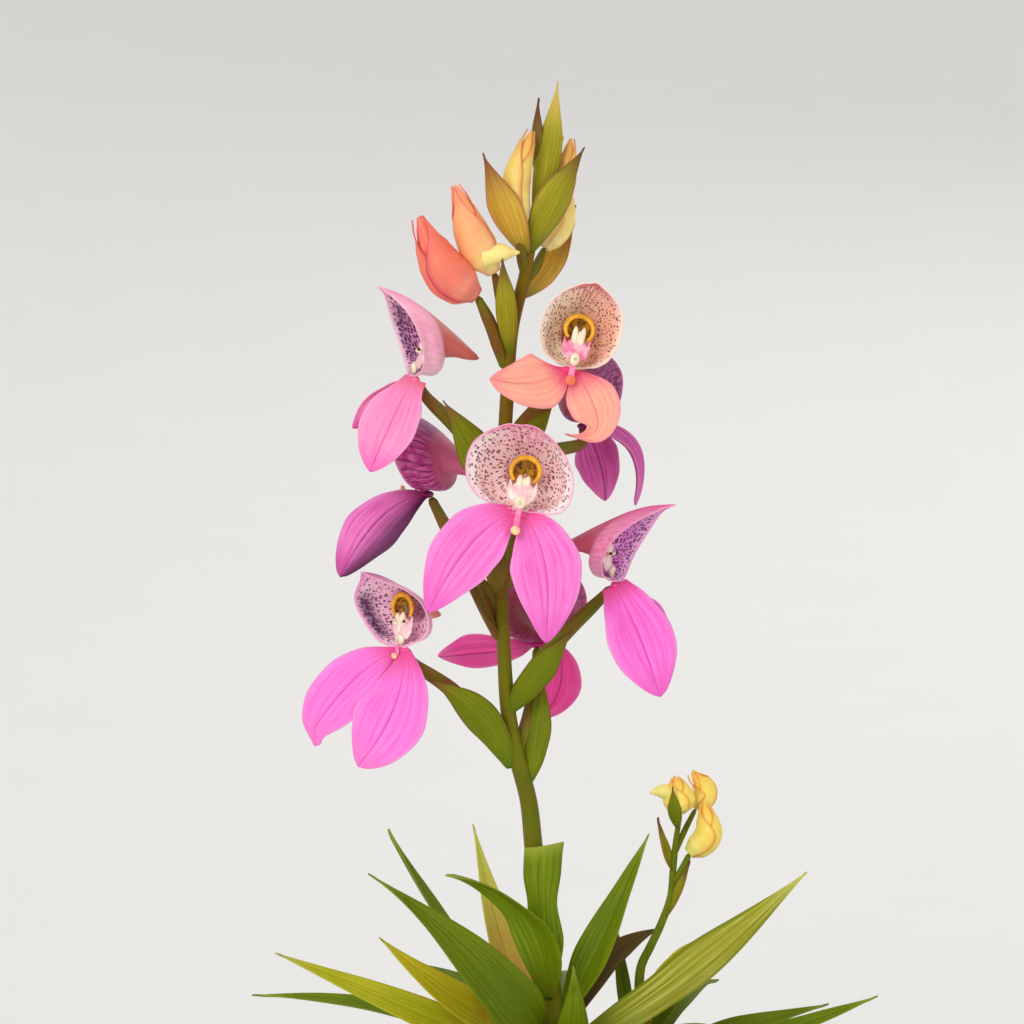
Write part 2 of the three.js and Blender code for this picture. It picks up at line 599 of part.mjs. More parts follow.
// Leaves. `foot` is the place on the plant (crown, bearing in degrees from +X, height).
const LEAVES = [
  {
    name: 'leaf_left_long', colour: COLOURS.leafYellow, width: 8.6, bearing: 200, height: 91,
    path: [[-34, -10, 104], [-72.5, -22, 122.8]], face: [0.2, -0.9, 0.6],
  },
  {
    name: 'leaf_left_low', colour: COLOURS.leaf, width: 6, bearing: 172, height: 89,
    path: [[-36, 6, 107], [-80.8, 12, 106]], face: [0, -0.7, 0.9],
  },
  {
    name: 'leaf_left_gold', colour: COLOURS.leafYellow, width: 9.6, bearing: 218, height: 98,
    path: [[-24, -13, 103], [-47, -22, 126.6]], face: [0.3, -1, 0.5],
  },
  {
    name: 'leaf_left_back', colour: COLOURS.leaf, width: 8.4, bearing: 160, height: 95,
    path: [[-30, 8, 118], [-45.9, 10, 148.9]],
  },
  {
    name: 'leaf_left_broad', colour: COLOURS.leaf, width: 16, bearing: 246, height: 94,
    path: [[-10, -26, 103], [-24, -22, 126], [-50, -16, 141.5]], face: [0.5, -1, 0.6],
  },
  {
    name: 'leaf_upright_gold', colour: COLOURS.leafYellow, width: 8.4, bearing: 140, height: 99,
    path: [[-16, 13, 110], [-24.4, 14, 149.6]], face: [0.3, -1, 0.2],
  },
  {
    name: 'leaf_stem_left', colour: COLOURS.leaf, width: 10.5, bearing: 250, height: 107,
    path: [[-5, -12, 124], [-12, -10, 137], [-31, -9, 140]], face: [0.1, -0.6, -1],
  },
  {
    name: 'leaf_stem_sheath', colour: COLOURS.leaf, width: 9.4, bearing: 285, height: 112,
    path: [[-7, -8, 122], [-9.4, -5.4, 141], [-2.3, -7, 148.4]], face: [0, 1, 0.2],
    foot: 0.5, peak: 0.78, point: 0.5,
  },
  {
    name: 'leaf_right_up', colour: COLOURS.leaf, width: 9.6, bearing: 8, height: 103,
    path: [[6, 2, 117], [20, 4, 148.5]], face: [-0.5, -0.9, 0.4], foot: 0.2,
  },
  {
    name: 'leaf_right_big', colour: COLOURS.leafYellow, width: 14, bearing: 340, height: 95,
    path: [[22, -10, 104], [58.7, -10, 141]], face: [-0.3, -0.7, 1],
  },
  {
    name: 'leaf_rust', colour: COLOURS.leafRust, width: 7.5, bearing: 50, height: 97,
    path: [[8, 14, 118], [24, 25, 121]], face: [-0.2, -0.9, 0.7],
  },
  {
    name: 'leaf_front_up', colour: COLOURS.leaf, width: 8.4, bearing: 292, height: 90,
    path: [[2, -18, 98], [0.6, -16, 118.5]], face: [0, 1, 0.3],
  },
  {
    name: 'leaf_back_left', colour: COLOURS.leaf, width: 9, bearing: 130, height: 89,
    path: [[-20, 18, 108], [-40, 35, 110]],
  },
  {
    name: 'leaf_back', colour: COLOURS.leaf, width: 9, bearing: 85, height: 90,
    path: [[-4, 20, 110], [0, 46, 106]],
  },
  {
    name: 'leaf_front', colour: COLOURS.leaf, width: 9, bearing: 272, height: 86.6,
    path: [[-8, -24, 92], [-14, -50, 93]],
  },
  {
    name: 'side_leaf_thin', colour: COLOURS.leaf, width: 4, bearing: 130, height: 89, side: true,
    path: [[14, 22, 106], [12, 24, 124]], face: [0.3, -1, 0],
  },
  {
    name: 'side_leaf_gold', colour: COLOURS.leafYellow, width: 6, bearing: 335, height: 98, side: true,
    path: [[22, 9, 112], [36, 7, 120]], face: [-0.5, -0.6, 0.8],
  },
  {
    name: 'side_leaf_short', colour: COLOURS.leaf, width: 6, bearing: 20, height: 94, side: true,
    path: [[26, 16, 108], [40, 18, 114.4]], face: [0, -0.7, 0.9],
  },
  {
    name: 'side_leaf_curled', colour: COLOURS.leaf, width: 8, bearing: 275, height: 87.4, side: true,
    path: [[21, -4, 94], [30, -24, 112], [43, -24, 99]],
  },
  {
    name: 'side_leaf_right', colour: COLOURS.leaf, width: 7, bearing: 326, height: 90, side: true,
    path: [[38, -2, 99], [65, -3, 106.6]], face: [0, -0.7, 0.9],
  },
  {
    name: 'side_leaf_far', colour: COLOURS.leaf, width: 7, bearing: 350, height: 86.5, side: true,
    path: [[48, 12, 93], [79, 14, 105.4]], face: [0, -0.7, 0.9],
  },
  {
    name: 'side_leaf_back', colour: COLOURS.leaf, width: 8, bearing: 72, height: 88, side: true,
    path: [[28, 28, 106], [40, 44, 104]],
  },
];
const LEAF_SEAT = 0.85;

function stemRadiusAt(curve, radii, height) {
  const samples = 200;
  for (let i = 0; i <= samples; i += 1) {
    const point = curve.getPointAt(i / samples);
    if (point.z >= height) {
      const t = (i / samples) * (radii.length - 1);
      const k = Math.min(Math.floor(t), radii.length - 2);
      return { point, radius: THREE.MathUtils.lerp(radii[k], radii[k + 1], t - k) };
    }
  }
  return { point: curve.getPointAt(1), radius: radii.at(-1) };
}

const mainCurve = new THREE.CatmullRomCurve3(MAIN_STEM.map(vec), false, 'centripetal');
const sideCurve = new THREE.CatmullRomCurve3(SIDE_STEM.map(vec), false, 'centripetal');
for (const leaf of LEAVES) {
  const [curve, radii] = leaf.side ? [sideCurve, SIDE_RADII] : [mainCurve, MAIN_RADII];
  const { point, radius } = stemRadiusAt(curve, radii, leaf.height);
  const bearing = THREE.MathUtils.degToRad(leaf.bearing);
  const outward = new THREE.Vector3(Math.cos(bearing), Math.sin(bearing), 0);
  const root = point.clone().addScaledVector(outward, radius + LEAF_SEAT);
  const face = leaf.face ?? outward.multiplyScalar(-0.6).add(UP).toArray();
  addPart(leaf.name, blade([root, ...leaf.path], {
    foot: 0.3, peak: 0.4, point: 1.1, channel: 0.3, rows: 7, columns: leaf.width < 8.2 ? 2 : 4,
    ...leaf, face,
  }), leaf.colour);
}

addPart('pot', makePot(), COLOURS.pot);
addPart('growing_medium', makeMedium(), COLOURS.medium);

export default plant;
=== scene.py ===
"""Potted disa orchid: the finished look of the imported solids.

Sizes are in millimetres until a mesh is made. +Z is up, the front of the plant faces -Y and the
origin is the centre of the pot's underside. Every petal, leaf and stem follows the same lines
as its solid, with finer faces, waved margins, folds and its own finish.
"""

import math
import random

import bpy
import numpy as np
from mathutils import Euler, Matrix, Vector, noise


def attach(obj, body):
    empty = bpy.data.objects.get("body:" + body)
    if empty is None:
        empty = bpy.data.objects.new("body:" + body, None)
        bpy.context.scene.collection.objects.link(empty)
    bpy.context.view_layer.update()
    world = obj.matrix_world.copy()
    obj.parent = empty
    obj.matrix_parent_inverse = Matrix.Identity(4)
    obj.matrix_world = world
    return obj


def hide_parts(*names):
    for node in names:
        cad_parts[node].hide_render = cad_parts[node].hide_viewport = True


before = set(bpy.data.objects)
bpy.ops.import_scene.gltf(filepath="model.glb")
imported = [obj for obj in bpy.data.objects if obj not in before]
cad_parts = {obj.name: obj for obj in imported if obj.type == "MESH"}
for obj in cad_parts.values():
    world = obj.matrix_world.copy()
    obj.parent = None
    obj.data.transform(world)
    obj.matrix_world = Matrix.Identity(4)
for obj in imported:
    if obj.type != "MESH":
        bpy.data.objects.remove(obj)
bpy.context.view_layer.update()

MM = 0.001
BODY = "root"
BLADE_MAP = "blade"

# View: the plant fills the frame from the rosette up
VIEW_DISTANCE = 900
VIEW_ELEVATION = 3
VIEW_AIM = (-14.5, 0, 230)
VIEW_LENS = 126.6
VIEW_SENSOR = 36

# Near and far limit of the view, in metres
VIEW_RANGE = (0.02, 20)

# Thickness of the sheets in millimetres
SEPAL_THICK = 0.55
BRACT_THICK = 0.55
LEAF_THICK = 0.6
LIP_THICK = 0.6
FINE_THICK = 0.35

# How much narrower the last ring of a stalk is than the rest of it
ROD_END = 0.6

# Floor and lights of the studio, in metres
FLOOR_REACH = 4.5
FLOOR_FLAT = 0.4
FLOOR_RISE = 1.2
FLOOR_SIDES = 96
LIGHT_AIM = (0, 0, 0.22)
# Lights: name, place, size, power and colour
LIGHTS = [
    ("key_light", (-0.7, -1.5, 1.0), 0.8, 12.5, (1.0, 0.99, 0.95)),
    ("fill_light", (1.2, -1.2, 0.5), 0.9, 3, (1.0, 0.99, 0.97)),
    ("rim_light", (0.5, 1.3, 1.3), 0.8, 4, (1.0, 1.0, 1.0)),
]
SKY_STRENGTH = 0.7


def tint(code):
    """A colour written as rrggbb, as the shader wants it."""
    channels = [int(code[i : i + 2], 16) / 255 for i in (0, 2, 4)]
    linear = [c / 12.92 if c <= 0.04045 else ((c + 0.055) / 1.055) ** 2.4 for c in channels]
    return (*linear, 1.0)


# Curves


def bezier(points, t):
    """Points of the quadratic or cubic curve at the parameters t."""
    p = np.asarray(points, float)
    n = len(p) - 1
    t = np.asarray(t, float)[:, None]
    return sum(math.comb(n, i) * (1 - t) ** (n - i) * t**i * p[i] for i in range(n + 1))


def bezier_direction(points, t):
    """Unit directions of that curve."""
    p = np.asarray(points, float)
    slope = bezier((p[1:] - p[:-1]), t)
    return slope / np.linalg.norm(slope, axis=1)[:, None]


def smooth_path(points, count):
    """Evenly spaced points of the smooth curve that runs through the given points."""
    p = np.asarray(points, float)
    padded = np.vstack([2 * p[0] - p[1], p, 2 * p[-1] - p[-2]])
    t = np.linspace(0, 1, 24, endpoint=False)[:, None]
    runs = []
    for a, b, c, d in zip(padded, padded[1:], padded[2:], padded[3:]):
        s0, s1, s2 = (np.sqrt(np.linalg.norm(q - r)) for q, r in ((b, a), (c, b), (d, c)))
        leave = ((b - a) / s0 - (c - a) / (s0 + s1) + (c - b) / s1) * s1
        arrive = ((c - b) / s1 - (d - b) / (s1 + s2) + (d - c) / s2) * s1
        runs.append(
            b
            + leave * t
            + (-3 * b + 3 * c - 2 * leave - arrive) * t**2
            + (2 * b - 2 * c + leave + arrive) * t**3
        )
    line = np.vstack([*runs, p[-1]])
    run = np.concatenate([[0], np.cumsum(np.linalg.norm(np.diff(line, axis=0), axis=1))])
    even = np.linspace(0, run[-1], count)
    return np.column_stack([np.interp(even, run, line[:, k]) for k in range(3)])


def unit(rows):
    """Rows scaled to length one."""
    return rows / np.maximum(np.linalg.norm(rows, axis=-1), 1e-9)[..., None]


def carried_frames(line):
    """Two directions square to each point of a line, carried along it without twist."""
    ahead = unit(np.gradient(line, axis=0))
    start = np.cross(ahead[0], (0, 1, 0) if abs(ahead[0][1]) < 0.9 else (1, 0, 0))
    first = [start / np.linalg.norm(start)]
    for direction in ahead[1:]:
        kept = first[-1] - direction * np.dot(first[-1], direction)
        first.append(kept / np.linalg.norm(kept))
    first = np.array(first)
    return first, np.cross(ahead, first)


# Meshes


def new_object(name, data):
    """Puts a new object into the scene."""
    made = bpy.data.objects.new(name, data)
    bpy.context.scene.collection.objects.link(made)
    return made


class Patches:
    """Gathers the patches of one piece: points, faces, where each corner lies on the blade
    (along, across) and the finish of each face."""

    def __init__(self):
        self.points = []
        self.faces = []
        self.corners = []
        self.finishes = []
        self.count = 0

    def add(self, points, faces, corners, finish):
        """Adds faces (rows of point numbers) with a map position for each of their corners."""
        self.points.append(points)
        self.faces += (np.asarray(faces) + self.count).tolist()
        self.corners += np.asarray(corners, float).reshape(-1, 2).tolist()
        self.finishes += [finish] * len(faces)
        self.count += len(points)

    def grid(self, points, finish=0, closed=False, flip=False, span=(0, 1)):
        """Adds a grid of points (rows, columns, 3); closed joins its last column to its first."""
        rows, columns = points.shape[:2]
        wide = columns if closed else columns - 1
        i, j = (a.ravel() for a in np.meshgrid(range(rows - 1), range(wide), indexing="ij"))
        k = (j + 1) % columns
        faces = np.column_stack([i * columns + j, (i + 1) * columns + j, (i + 1) * columns + k,
                                 i * columns + k])
        low, high = span
        along = low + (high - low) * np.column_stack([i, i + 1, i + 1, i]) / (rows - 1)
        across = np.column_stack([j, j, j + 1, j + 1]) / wide
        corners = np.stack([along, across], axis=-1)
        if flip:
            faces, corners = faces[:, ::-1], corners[:, ::-1]
        self.add(points.reshape(-1, 3), faces, corners, finish)

    def thin(self, front, back, finish=0):
        """Adds a closed thin sheet between two grids of points."""
        rows, columns = front.shape[:2]
        size = rows * columns
        i, j = (a.ravel() for a in np.meshgrid(range(rows - 1), range(columns - 1), indexing="ij"))
        a = i * columns + j
        quad = np.column_stack([a, a + columns, a + columns + 1, a + 1])
        place = np.stack(np.meshgrid(np.linspace(0, 1, rows), np.linspace(0, 1, columns),
                                     indexing="ij"), axis=-1).reshape(-1, 2)
        place = np.vstack([place, place])
        rim = []
        for line in (range(0, size, columns), range(columns - 1, size, columns)):
            rim += list(zip(line[:-1], line[1:])) if line[0] else list(zip(line[1:], line[:-1]))
        ends = (range(columns), range(size - columns, size))
        rim += list(zip(ends[0][:-1], ends[0][1:])) + list(zip(ends[1][1:], ends[1][:-1]))
        edge = np.array([(p, q, q + size, p + size) for p, q in rim])
        points = np.vstack([front.reshape(-1, 3), back.reshape(-1, 3)])
        self.add(points, quad, place[quad], finish)
        start = self.count - len(points)
        for faces in (quad[:, ::-1] + size, edge):
            self.faces += (faces + start).tolist()
            self.corners += place[faces].reshape(-1, 2).tolist()
            self.finishes += [finish] * len(faces)

    def build(self, name, materials, replaces=(), slot=None, smooth=True):
        """Makes the object in metres and puts it on the plant."""
        mesh = bpy.data.meshes.new(name)
        points = np.vstack(self.points) * MM
        mesh.from_pydata(points.tolist(), [], self.faces)
        layer = mesh.uv_layers.new(name=BLADE_MAP)
        layer.data.foreach_set("uv", np.array(self.corners, np.float32).ravel())
        for material in materials:
            mesh.materials.append(material)
        mesh.polygons.foreach_set("material_index", self.finishes)
        mesh.polygons.foreach_set("use_smooth", [smooth] * len(mesh.polygons))
        mesh.update()
        piece = new_object(name, mesh)
        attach(piece, BODY)
        if replaces:
            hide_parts(*replaces)
        return piece


def sheet_faces(surface, rows, columns, thickness):
    """Front and back grids of a sheet over surface(u, v), u from 0 to 1 and v from -1 to 1."""
    u = np.linspace(0, 1, rows + 1)
    v = np.linspace(-1, 1, columns + 1)
    step = 1e-3
    middle = surface(u, v)
    along = surface(np.minimum(u + step, 1), v) - surface(np.maximum(u - step, 0), v)
    across = surface(u, v + step) - surface(u, v - step)
    normal = unit(np.cross(along, across))
    half = (thickness * (1 - 0.55 * np.abs(v) ** 4) / 2)[None, :, None]
    return middle + normal * half, middle - normal * half


def half_width(u, width, foot, peak, rise, point):
    """Half width of a blade: a narrow foot, a belly at `peak`, then a point."""
    swell = np.sin(np.pi / 2 * np.clip(u / peak, 0, 1)) ** rise
    fall = np.cos(np.pi / 2 * np.clip((u - peak) / (1 - peak), 0, 1))
    share = np.where(u < peak, foot + (1 - foot) * swell, np.maximum(fall, 0) ** point)
    return np.maximum(0.12, width / 2 * share)


def smooth_step(value, low, high):
    """0 below low, 1 above high and smooth between them."""
    share = np.clip((value - low) / (high - low), 0, 1)
    return share * share * (3 - 2 * share)


def blade_surface(path, face, width, foot, peak, rise, point, channel, pleat=0.0, ripple=0.0,
                  waves=3.0, crease=0.0, roll=0.0, phase=0.0, lump=0.0, waist=0.0, slant=0.0,
                  hook=(0, 0, 0), cut=False):
    """The middle surface of a leaf or petal. `channel` lifts the margins, `pleat` folds it
    lengthwise, `ripple` waves the margins, `crease` sinks the midrib, `roll` turns the margins
    back, `lump` makes it uneven, `waist` narrows its middle, `slant` and `cut` end it square
    and askew, and `hook` bends its tip aside."""
    face = np.asarray(face, float) / np.linalg.norm(face)

    def surface(u, v):
        bent = smooth_step(u, 0.86, 1.0)[:, None] ** 2 * np.asarray(hook, float)
        centre = bezier(path, u) + bent
        ahead = bezier_direction(path, u)
        side = unit(np.cross(ahead, face))
        up = np.cross(side, ahead)
        half = half_width(u, width, foot, peak, rise, point)
        if cut:
            half = width / 2 * (foot + (1 - foot) * smooth_step(u, 0, peak))
        half = half * (1 - waist * np.exp(-(((u - 0.55) / 0.16) ** 2)))
        uneven = 1 + 0.02 * np.sin(11 * u + phase) + 0.012 * np.sin(23 * u + 2 * phase)
        half = (half * uneven)[:, None]
        across = v[None, :]
        along = u[:, None]
        body = np.sin(np.pi * np.clip(along, 0, 1)) ** 0.7
        lift = half * channel * across**2
        lift = lift - roll * half * np.abs(across) ** 5
        folds = np.cos(3 * np.pi * across + phase) + 0.1 * np.cos(9 * np.pi * across)
        lift = lift + pleat * body * folds
        deep = smooth_step(along, 0.05, 0.45) * (1 - smooth_step(along, 0.97, 1.0))
        lift = lift - crease * deep * np.exp(-((across / 0.06) ** 2))
        bumps = np.sin(4.1 * along * waves / 2 + phase) * np.cos(2.2 * across + 2 * phase)
        lift = lift + lump * body * bumps
        wave = np.sin(2 * np.pi * waves * along + phase + 1.3 * np.sign(across))
        lift = lift + ripple * body * wave * np.abs(across) ** 2.5
        askew = slant * across * smooth_step(along, 0.6, 1.0)
        return (centre[:, None, :] + side[:, None, :] * (half * across)[..., None]
                + up[:, None, :] * lift[..., None] + ahead[:, None, :] * askew[..., None])

    return surface


def rod_rings(line, radii, sides, ribs=0, rib_depth=0.0):
    """Rings of a round solid along a line; ribs run along it."""
    first, second = carried_frames(line)
    angle = 2 * np.pi * np.arange(sides) / sides
    swell = 1 + rib_depth * np.cos(ribs * angle)
    radius = np.asarray(radii)[:, None] * swell[None, :]
    x = radius * np.cos(angle)
    y = radius * np.sin(angle)
    return line[:, None, :] + first[:, None, :] * x[..., None] + second[:, None, :] * y[..., None]


def spread(values, count):
    """Radii given at even steps, drawn out smoothly to `count` of them."""
    values = np.asarray(values, float)
    place = np.linspace(0, len(values) - 1, count)
    low = np.minimum(place.astype(int), len(values) - 2)
    share = place - low
    share = 0.5 * share + 0.5 * share * share * (3 - 2 * share)
    return values[low] * (1 - share) + values[low + 1] * share


def add_rod(patches, points, radii, sides=20, rings=40, finish=0, ribs=0, rib_depth=0.0):
    """Adds a round stalk with closed ends along the smooth path through the points."""
    line = smooth_path(points, rings)
    sizes = spread(radii, rings)
    sizes[0] *= ROD_END
    sizes[-1] *= ROD_END
    rings_of = rod_rings(line, sizes, sides, ribs, rib_depth)
    caps = [np.repeat(line[[k]][None], sides, axis=1) for k in (0, -1)]
    patches.grid(np.concatenate([caps[0], rings_of, caps[1]]), finish, closed=True, flip=True)


def revolved(radii, heights, sides):
    """A grid of points: radii and heights of a profile, turned round the upright axis."""
    turn = 2 * np.pi * np.arange(sides)[None, :] / sides
    r = np.asarray(radii, float)[:, None]
    z = np.asarray(heights, float)[:, None]
    return np.stack([r * np.cos(turn), r * np.sin(turn), z + 0 * turn], axis=-1)


def ball_points(steps, sides):
    """Points of a ball of radius one."""
    polar = np.linspace(0, np.pi, steps + 1)
    return revolved(np.sin(polar), -np.cos(polar), sides)


def add_ball(patches, centre, radii, finish=0, steps=14):
    """Adds a rounded knob."""
    points = ball_points(steps, 2 * steps) * np.asarray(radii)
    patches.grid(np.asarray(centre) + points, finish, closed=True, flip=True)


def moved(points, matrix):
    """Points taken through a matrix."""
    m = np.array(matrix)
    return points @ m[:3, :3].T + m[:3, 3]


# Finishes


def node(tree, kind, **settings):
    """Adds a shader node and sets its properties."""
    made = tree.nodes.new(kind)
    for key, value in settings.items():
        setattr(made, key, value)
    return made


def put(made, **values):
    """Sets inputs of a node by name, with underscores for spaces."""
    for key, value in values.items():
        made.inputs[key.replace("_", " ")].default_value = value
    return made


def math_node(tree, operation, a, b=None):
    """One sum on masks or heights. a and b are sockets or numbers."""
    made = node(tree, "ShaderNodeMath", operation=operation)
    for slot_number, value in enumerate((a, b)):
        if value is None:
            continue
        if isinstance(value, (int, float)):
            made.inputs[slot_number].default_value = value
        else:
            tree.links.new(value, made.inputs[slot_number])
    return made.outputs[0]


def weighed_sum(tree, *pairs):
    """The sum of values, each multiplied by its weight."""
    parts = [math_node(tree, "MULTIPLY", value, weight) for value, weight in pairs]
    total = parts[0]
    for part in parts[1:]:
        total = math_node(tree, "ADD", total, part)
    return total


def ramp(tree, value, low, high, to_low=0.0, to_high=1.0):
    """A smooth step of a value from low to high."""
    made = node(tree, "ShaderNodeMapRange", interpolation_type="SMOOTHSTEP")
    tree.links.new(value, made.inputs["Value"])
    for name, number in zip(("From Min", "From Max", "To Min", "To Max"),
                            (low, high, to_low, to_high)):
        if isinstance(number, (int, float)):
            made.inputs[name].default_value = number
        else:
            tree.links.new(number, made.inputs[name])
    return made.outputs["Result"]


def blend_colours(tree, share, first, second):
    """Mixes two colours by a mask. Each is a socket or a colour."""
    made = node(tree, "ShaderNodeMix", data_type="RGBA")
    made.clamp_factor = True
    for name, value in ((0, share), (6, first), (7, second)):
        if isinstance(value, (int, float, tuple)):
            made.inputs[name].default_value = value
        else:
            tree.links.new(value, made.inputs[name])
    return made.outputs[2]


def speckle(tree, vector, scale, detail=2.0, roughness=0.5):
    """Soft noise over a surface."""
    made = node(tree, "ShaderNodeTexNoise")
    put(made, Scale=scale, Detail=detail, Roughness=roughness)
    tree.links.new(vector, made.inputs["Vector"])
    return made.outputs["Fac"]


def new_effect(name, inputs, outputs):
    """An empty shader node group with named inputs and outputs."""
    tree = bpy.data.node_groups.new(name, "ShaderNodeTree")
    for label, kind, default in inputs:
        item = tree.interface.new_socket(label, in_out="INPUT", socket_type=kind)
        item.default_value = default
    for label, kind in outputs:
        tree.interface.new_socket(label, in_out="OUTPUT", socket_type=kind)
    enter = node(tree, "NodeGroupInput")
    leave = node(tree, "NodeGroupOutput")
    return tree, enter.outputs, leave.inputs


NUMBER = "NodeSocketFloat"
CREST_TURN = 0.5
CLUMP_SIZE = 12.0


def map_place(tree):
    """Where a point lies on the map of its piece. For a hood these are the depth into it and
    the turn round it, which is 0.5 at the crest."""
    place = node(tree, "ShaderNodeUVMap", uv_map=BLADE_MAP)
    split = node(tree, "ShaderNodeSeparateXYZ")
    tree.links.new(place.outputs["UV"], split.inputs[0])
    return split.outputs["X"], split.outputs["Y"]


def blade_place(tree):
    """Where a point lies on its blade: along it, and across it from -1 to 1."""
    along, share = map_place(tree)
    across = math_node(tree, "MULTIPLY_ADD", share, 2.0)
    across.node.inputs[2].default_value = -1.0
    return along, across


def plant_place(tree):
    """A point of the plant in millimetres."""
    place = node(tree, "ShaderNodeTexCoord")
    scale = node(tree, "ShaderNodeVectorMath", operation="SCALE")
    tree.links.new(place.outputs["Object"], scale.inputs[0])
    scale.inputs["Scale"].default_value = 1 / MM
    return scale.outputs[0]


def join_place(tree, x, y):
    """A vector from the sockets of its first two values."""
    made = node(tree, "ShaderNodeCombineXYZ")
    tree.links.new(x, made.inputs[0])
    tree.links.new(y, made.inputs[1])
    return made.outputs[0]


def make_vein_effect():
    """Veins that run along a blade and meet at its ends, with fine side veins between them."""
    tree, enter, leave = new_effect(
        "blade veins",
        [("Count", NUMBER, 7.0), ("Sharpness", NUMBER, 0.5), ("Wander", NUMBER, 0.05)],
        [("Veins", NUMBER), ("Net", NUMBER), ("Midrib", NUMBER), ("Streaks", NUMBER)],
    )
    along, across = blade_place(tree)
    where = join_place(tree, math_node(tree, "MULTIPLY", along, 0.9), across)
    sway = math_node(tree, "SUBTRACT", speckle(tree, where, 1.5, 1.0), 0.5)
    wandered = math_node(tree, "ADD", across, math_node(tree, "MULTIPLY", sway, enter["Wander"]))
    turns = math_node(tree, "MULTIPLY", wandered, enter["Count"])
    swing = math_node(tree, "SINE", math_node(tree, "MULTIPLY", turns, math.pi / 2))
    line = math_node(tree, "ABSOLUTE", swing)
    veins = ramp(tree, line, 0.0, enter["Sharpness"], 1.0, 0.0)
    fade = ramp(tree, along, 0.8, 1.0, 1.0, 0.45)
    tree.links.new(math_node(tree, "MULTIPLY", veins, fade), leave["Veins"])
    stretched = join_place(tree, math_node(tree, "MULTIPLY", along, 9.0),
                           math_node(tree, "MULTIPLY", wandered, 14.0))
    net = node(tree, "ShaderNodeTexVoronoi", voronoi_dimensions="2D", feature="DISTANCE_TO_EDGE")
    tree.links.new(stretched, net.inputs["Vector"])
    tree.links.new(ramp(tree, net.outputs["Distance"], 0.0, 0.12, 1.0, 0.0), leave["Net"])
    middle = ramp(tree, math_node(tree, "ABSOLUTE", across), 0.0, 0.055, 1.0, 0.0)
    begun = ramp(tree, along, 0.08, 0.5, 0.25, 1.0)
    tree.links.new(math_node(tree, "MULTIPLY", middle, begun), leave["Midrib"])
    drawn = join_place(tree, math_node(tree, "MULTIPLY", along, 1.6),
                       math_node(tree, "MULTIPLY", wandered, 7.0))
    tree.links.new(speckle(tree, drawn, 1.0, 3.0, 0.6), leave["Streaks"])
    return tree


def make_spot_effect():
    """Small dark spots in rows that run out from the throat of a hood."""
    tree, enter, leave = new_effect(
        "hood spots",
        [("Rows", NUMBER, 46.0), ("Steps", NUMBER, 13.0), ("Size", NUMBER, 0.3),
         ("Crowding", NUMBER, 0.6)],
        [("Spots", NUMBER), ("Glow", NUMBER)],
    )
    depth, turn = map_place(tree)
    rows = math_node(tree, "MULTIPLY", turn, enter["Rows"])
    steps = math_node(tree, "MULTIPLY", depth, enter["Steps"])
    spots = node(tree, "ShaderNodeTexVoronoi", voronoi_dimensions="2D", feature="F1")
    put(spots, Scale=1.0, Randomness=0.75)
    tree.links.new(join_place(tree, steps, rows), spots.inputs["Vector"])
    shade = node(tree, "ShaderNodeSeparateColor")
    tree.links.new(spots.outputs["Color"], shade.inputs[0])
    odd_size = ramp(tree, shade.outputs[0], 0.0, 1.0, 0.55, 1.15)
    size = math_node(tree, "MULTIPLY", enter["Size"], odd_size)
    past = math_node(tree, "ADD", enter["Crowding"], 0.02)
    present = ramp(tree, shade.outputs[1], enter["Crowding"], past, 1.0, 0.0)
    inner = math_node(tree, "MULTIPLY", size, 0.7)
    dots = ramp(tree, spots.outputs["Distance"], inner, size, 1.0, 0.0)
    tree.links.new(math_node(tree, "MULTIPLY", dots, present), leave["Spots"])
    glow = ramp(tree, spots.outputs["Distance"], 0.1, 0.75, 1.0, 0.0)
    tree.links.new(glow, leave["Glow"])
    return tree


def make_turn_effect():
    """A mask along one line of a hood: full within Inner of the line, none past Outer."""
    tree, enter, leave = new_effect(
        "line of a hood",
        [("Turn", NUMBER, CREST_TURN), ("Inner", NUMBER, 0.0), ("Outer", NUMBER, 0.2),
         ("Share", NUMBER, 1.0)],
        [("Mask", NUMBER)],
    )
    turn = map_place(tree)[1]
    apart = math_node(tree, "ABSOLUTE", math_node(tree, "SUBTRACT", turn, enter["Turn"]))
    mask = ramp(tree, apart, enter["Inner"], enter["Outer"], enter["Share"], 0.0)
    tree.links.new(mask, leave["Mask"])
    return tree


def make_crest_effect():
    """Streaks that run down the inside of a hood from its crest."""
    tree, enter, leave = new_effect(
        "crest streaks", [("Rows", NUMBER, 58.0)], [("Streaks", NUMBER)]
    )
    depth, turn = map_place(tree)
    apart = math_node(tree, "ABSOLUTE", math_node(tree, "SUBTRACT", turn, CREST_TURN))
    crest = ramp(tree, apart, 0.02, 0.13, 1.0, 0.0)
    beat = math_node(tree, "MULTIPLY", enter["Rows"], math.pi / 1.6)
    swing = math_node(tree, "SINE", math_node(tree, "MULTIPLY", turn, beat))
    streak = ramp(tree, math_node(tree, "ABSOLUTE", swing), 0.1, 0.8, 0.95, 0.3)
    faded = math_node(tree, "MULTIPLY", crest, streak)
    deep = ramp(tree, depth, 0.3, 0.6, 1.0, 0.2)
    tree.links.new(math_node(tree, "MULTIPLY", faded, deep), leave["Streaks"])
    return tree


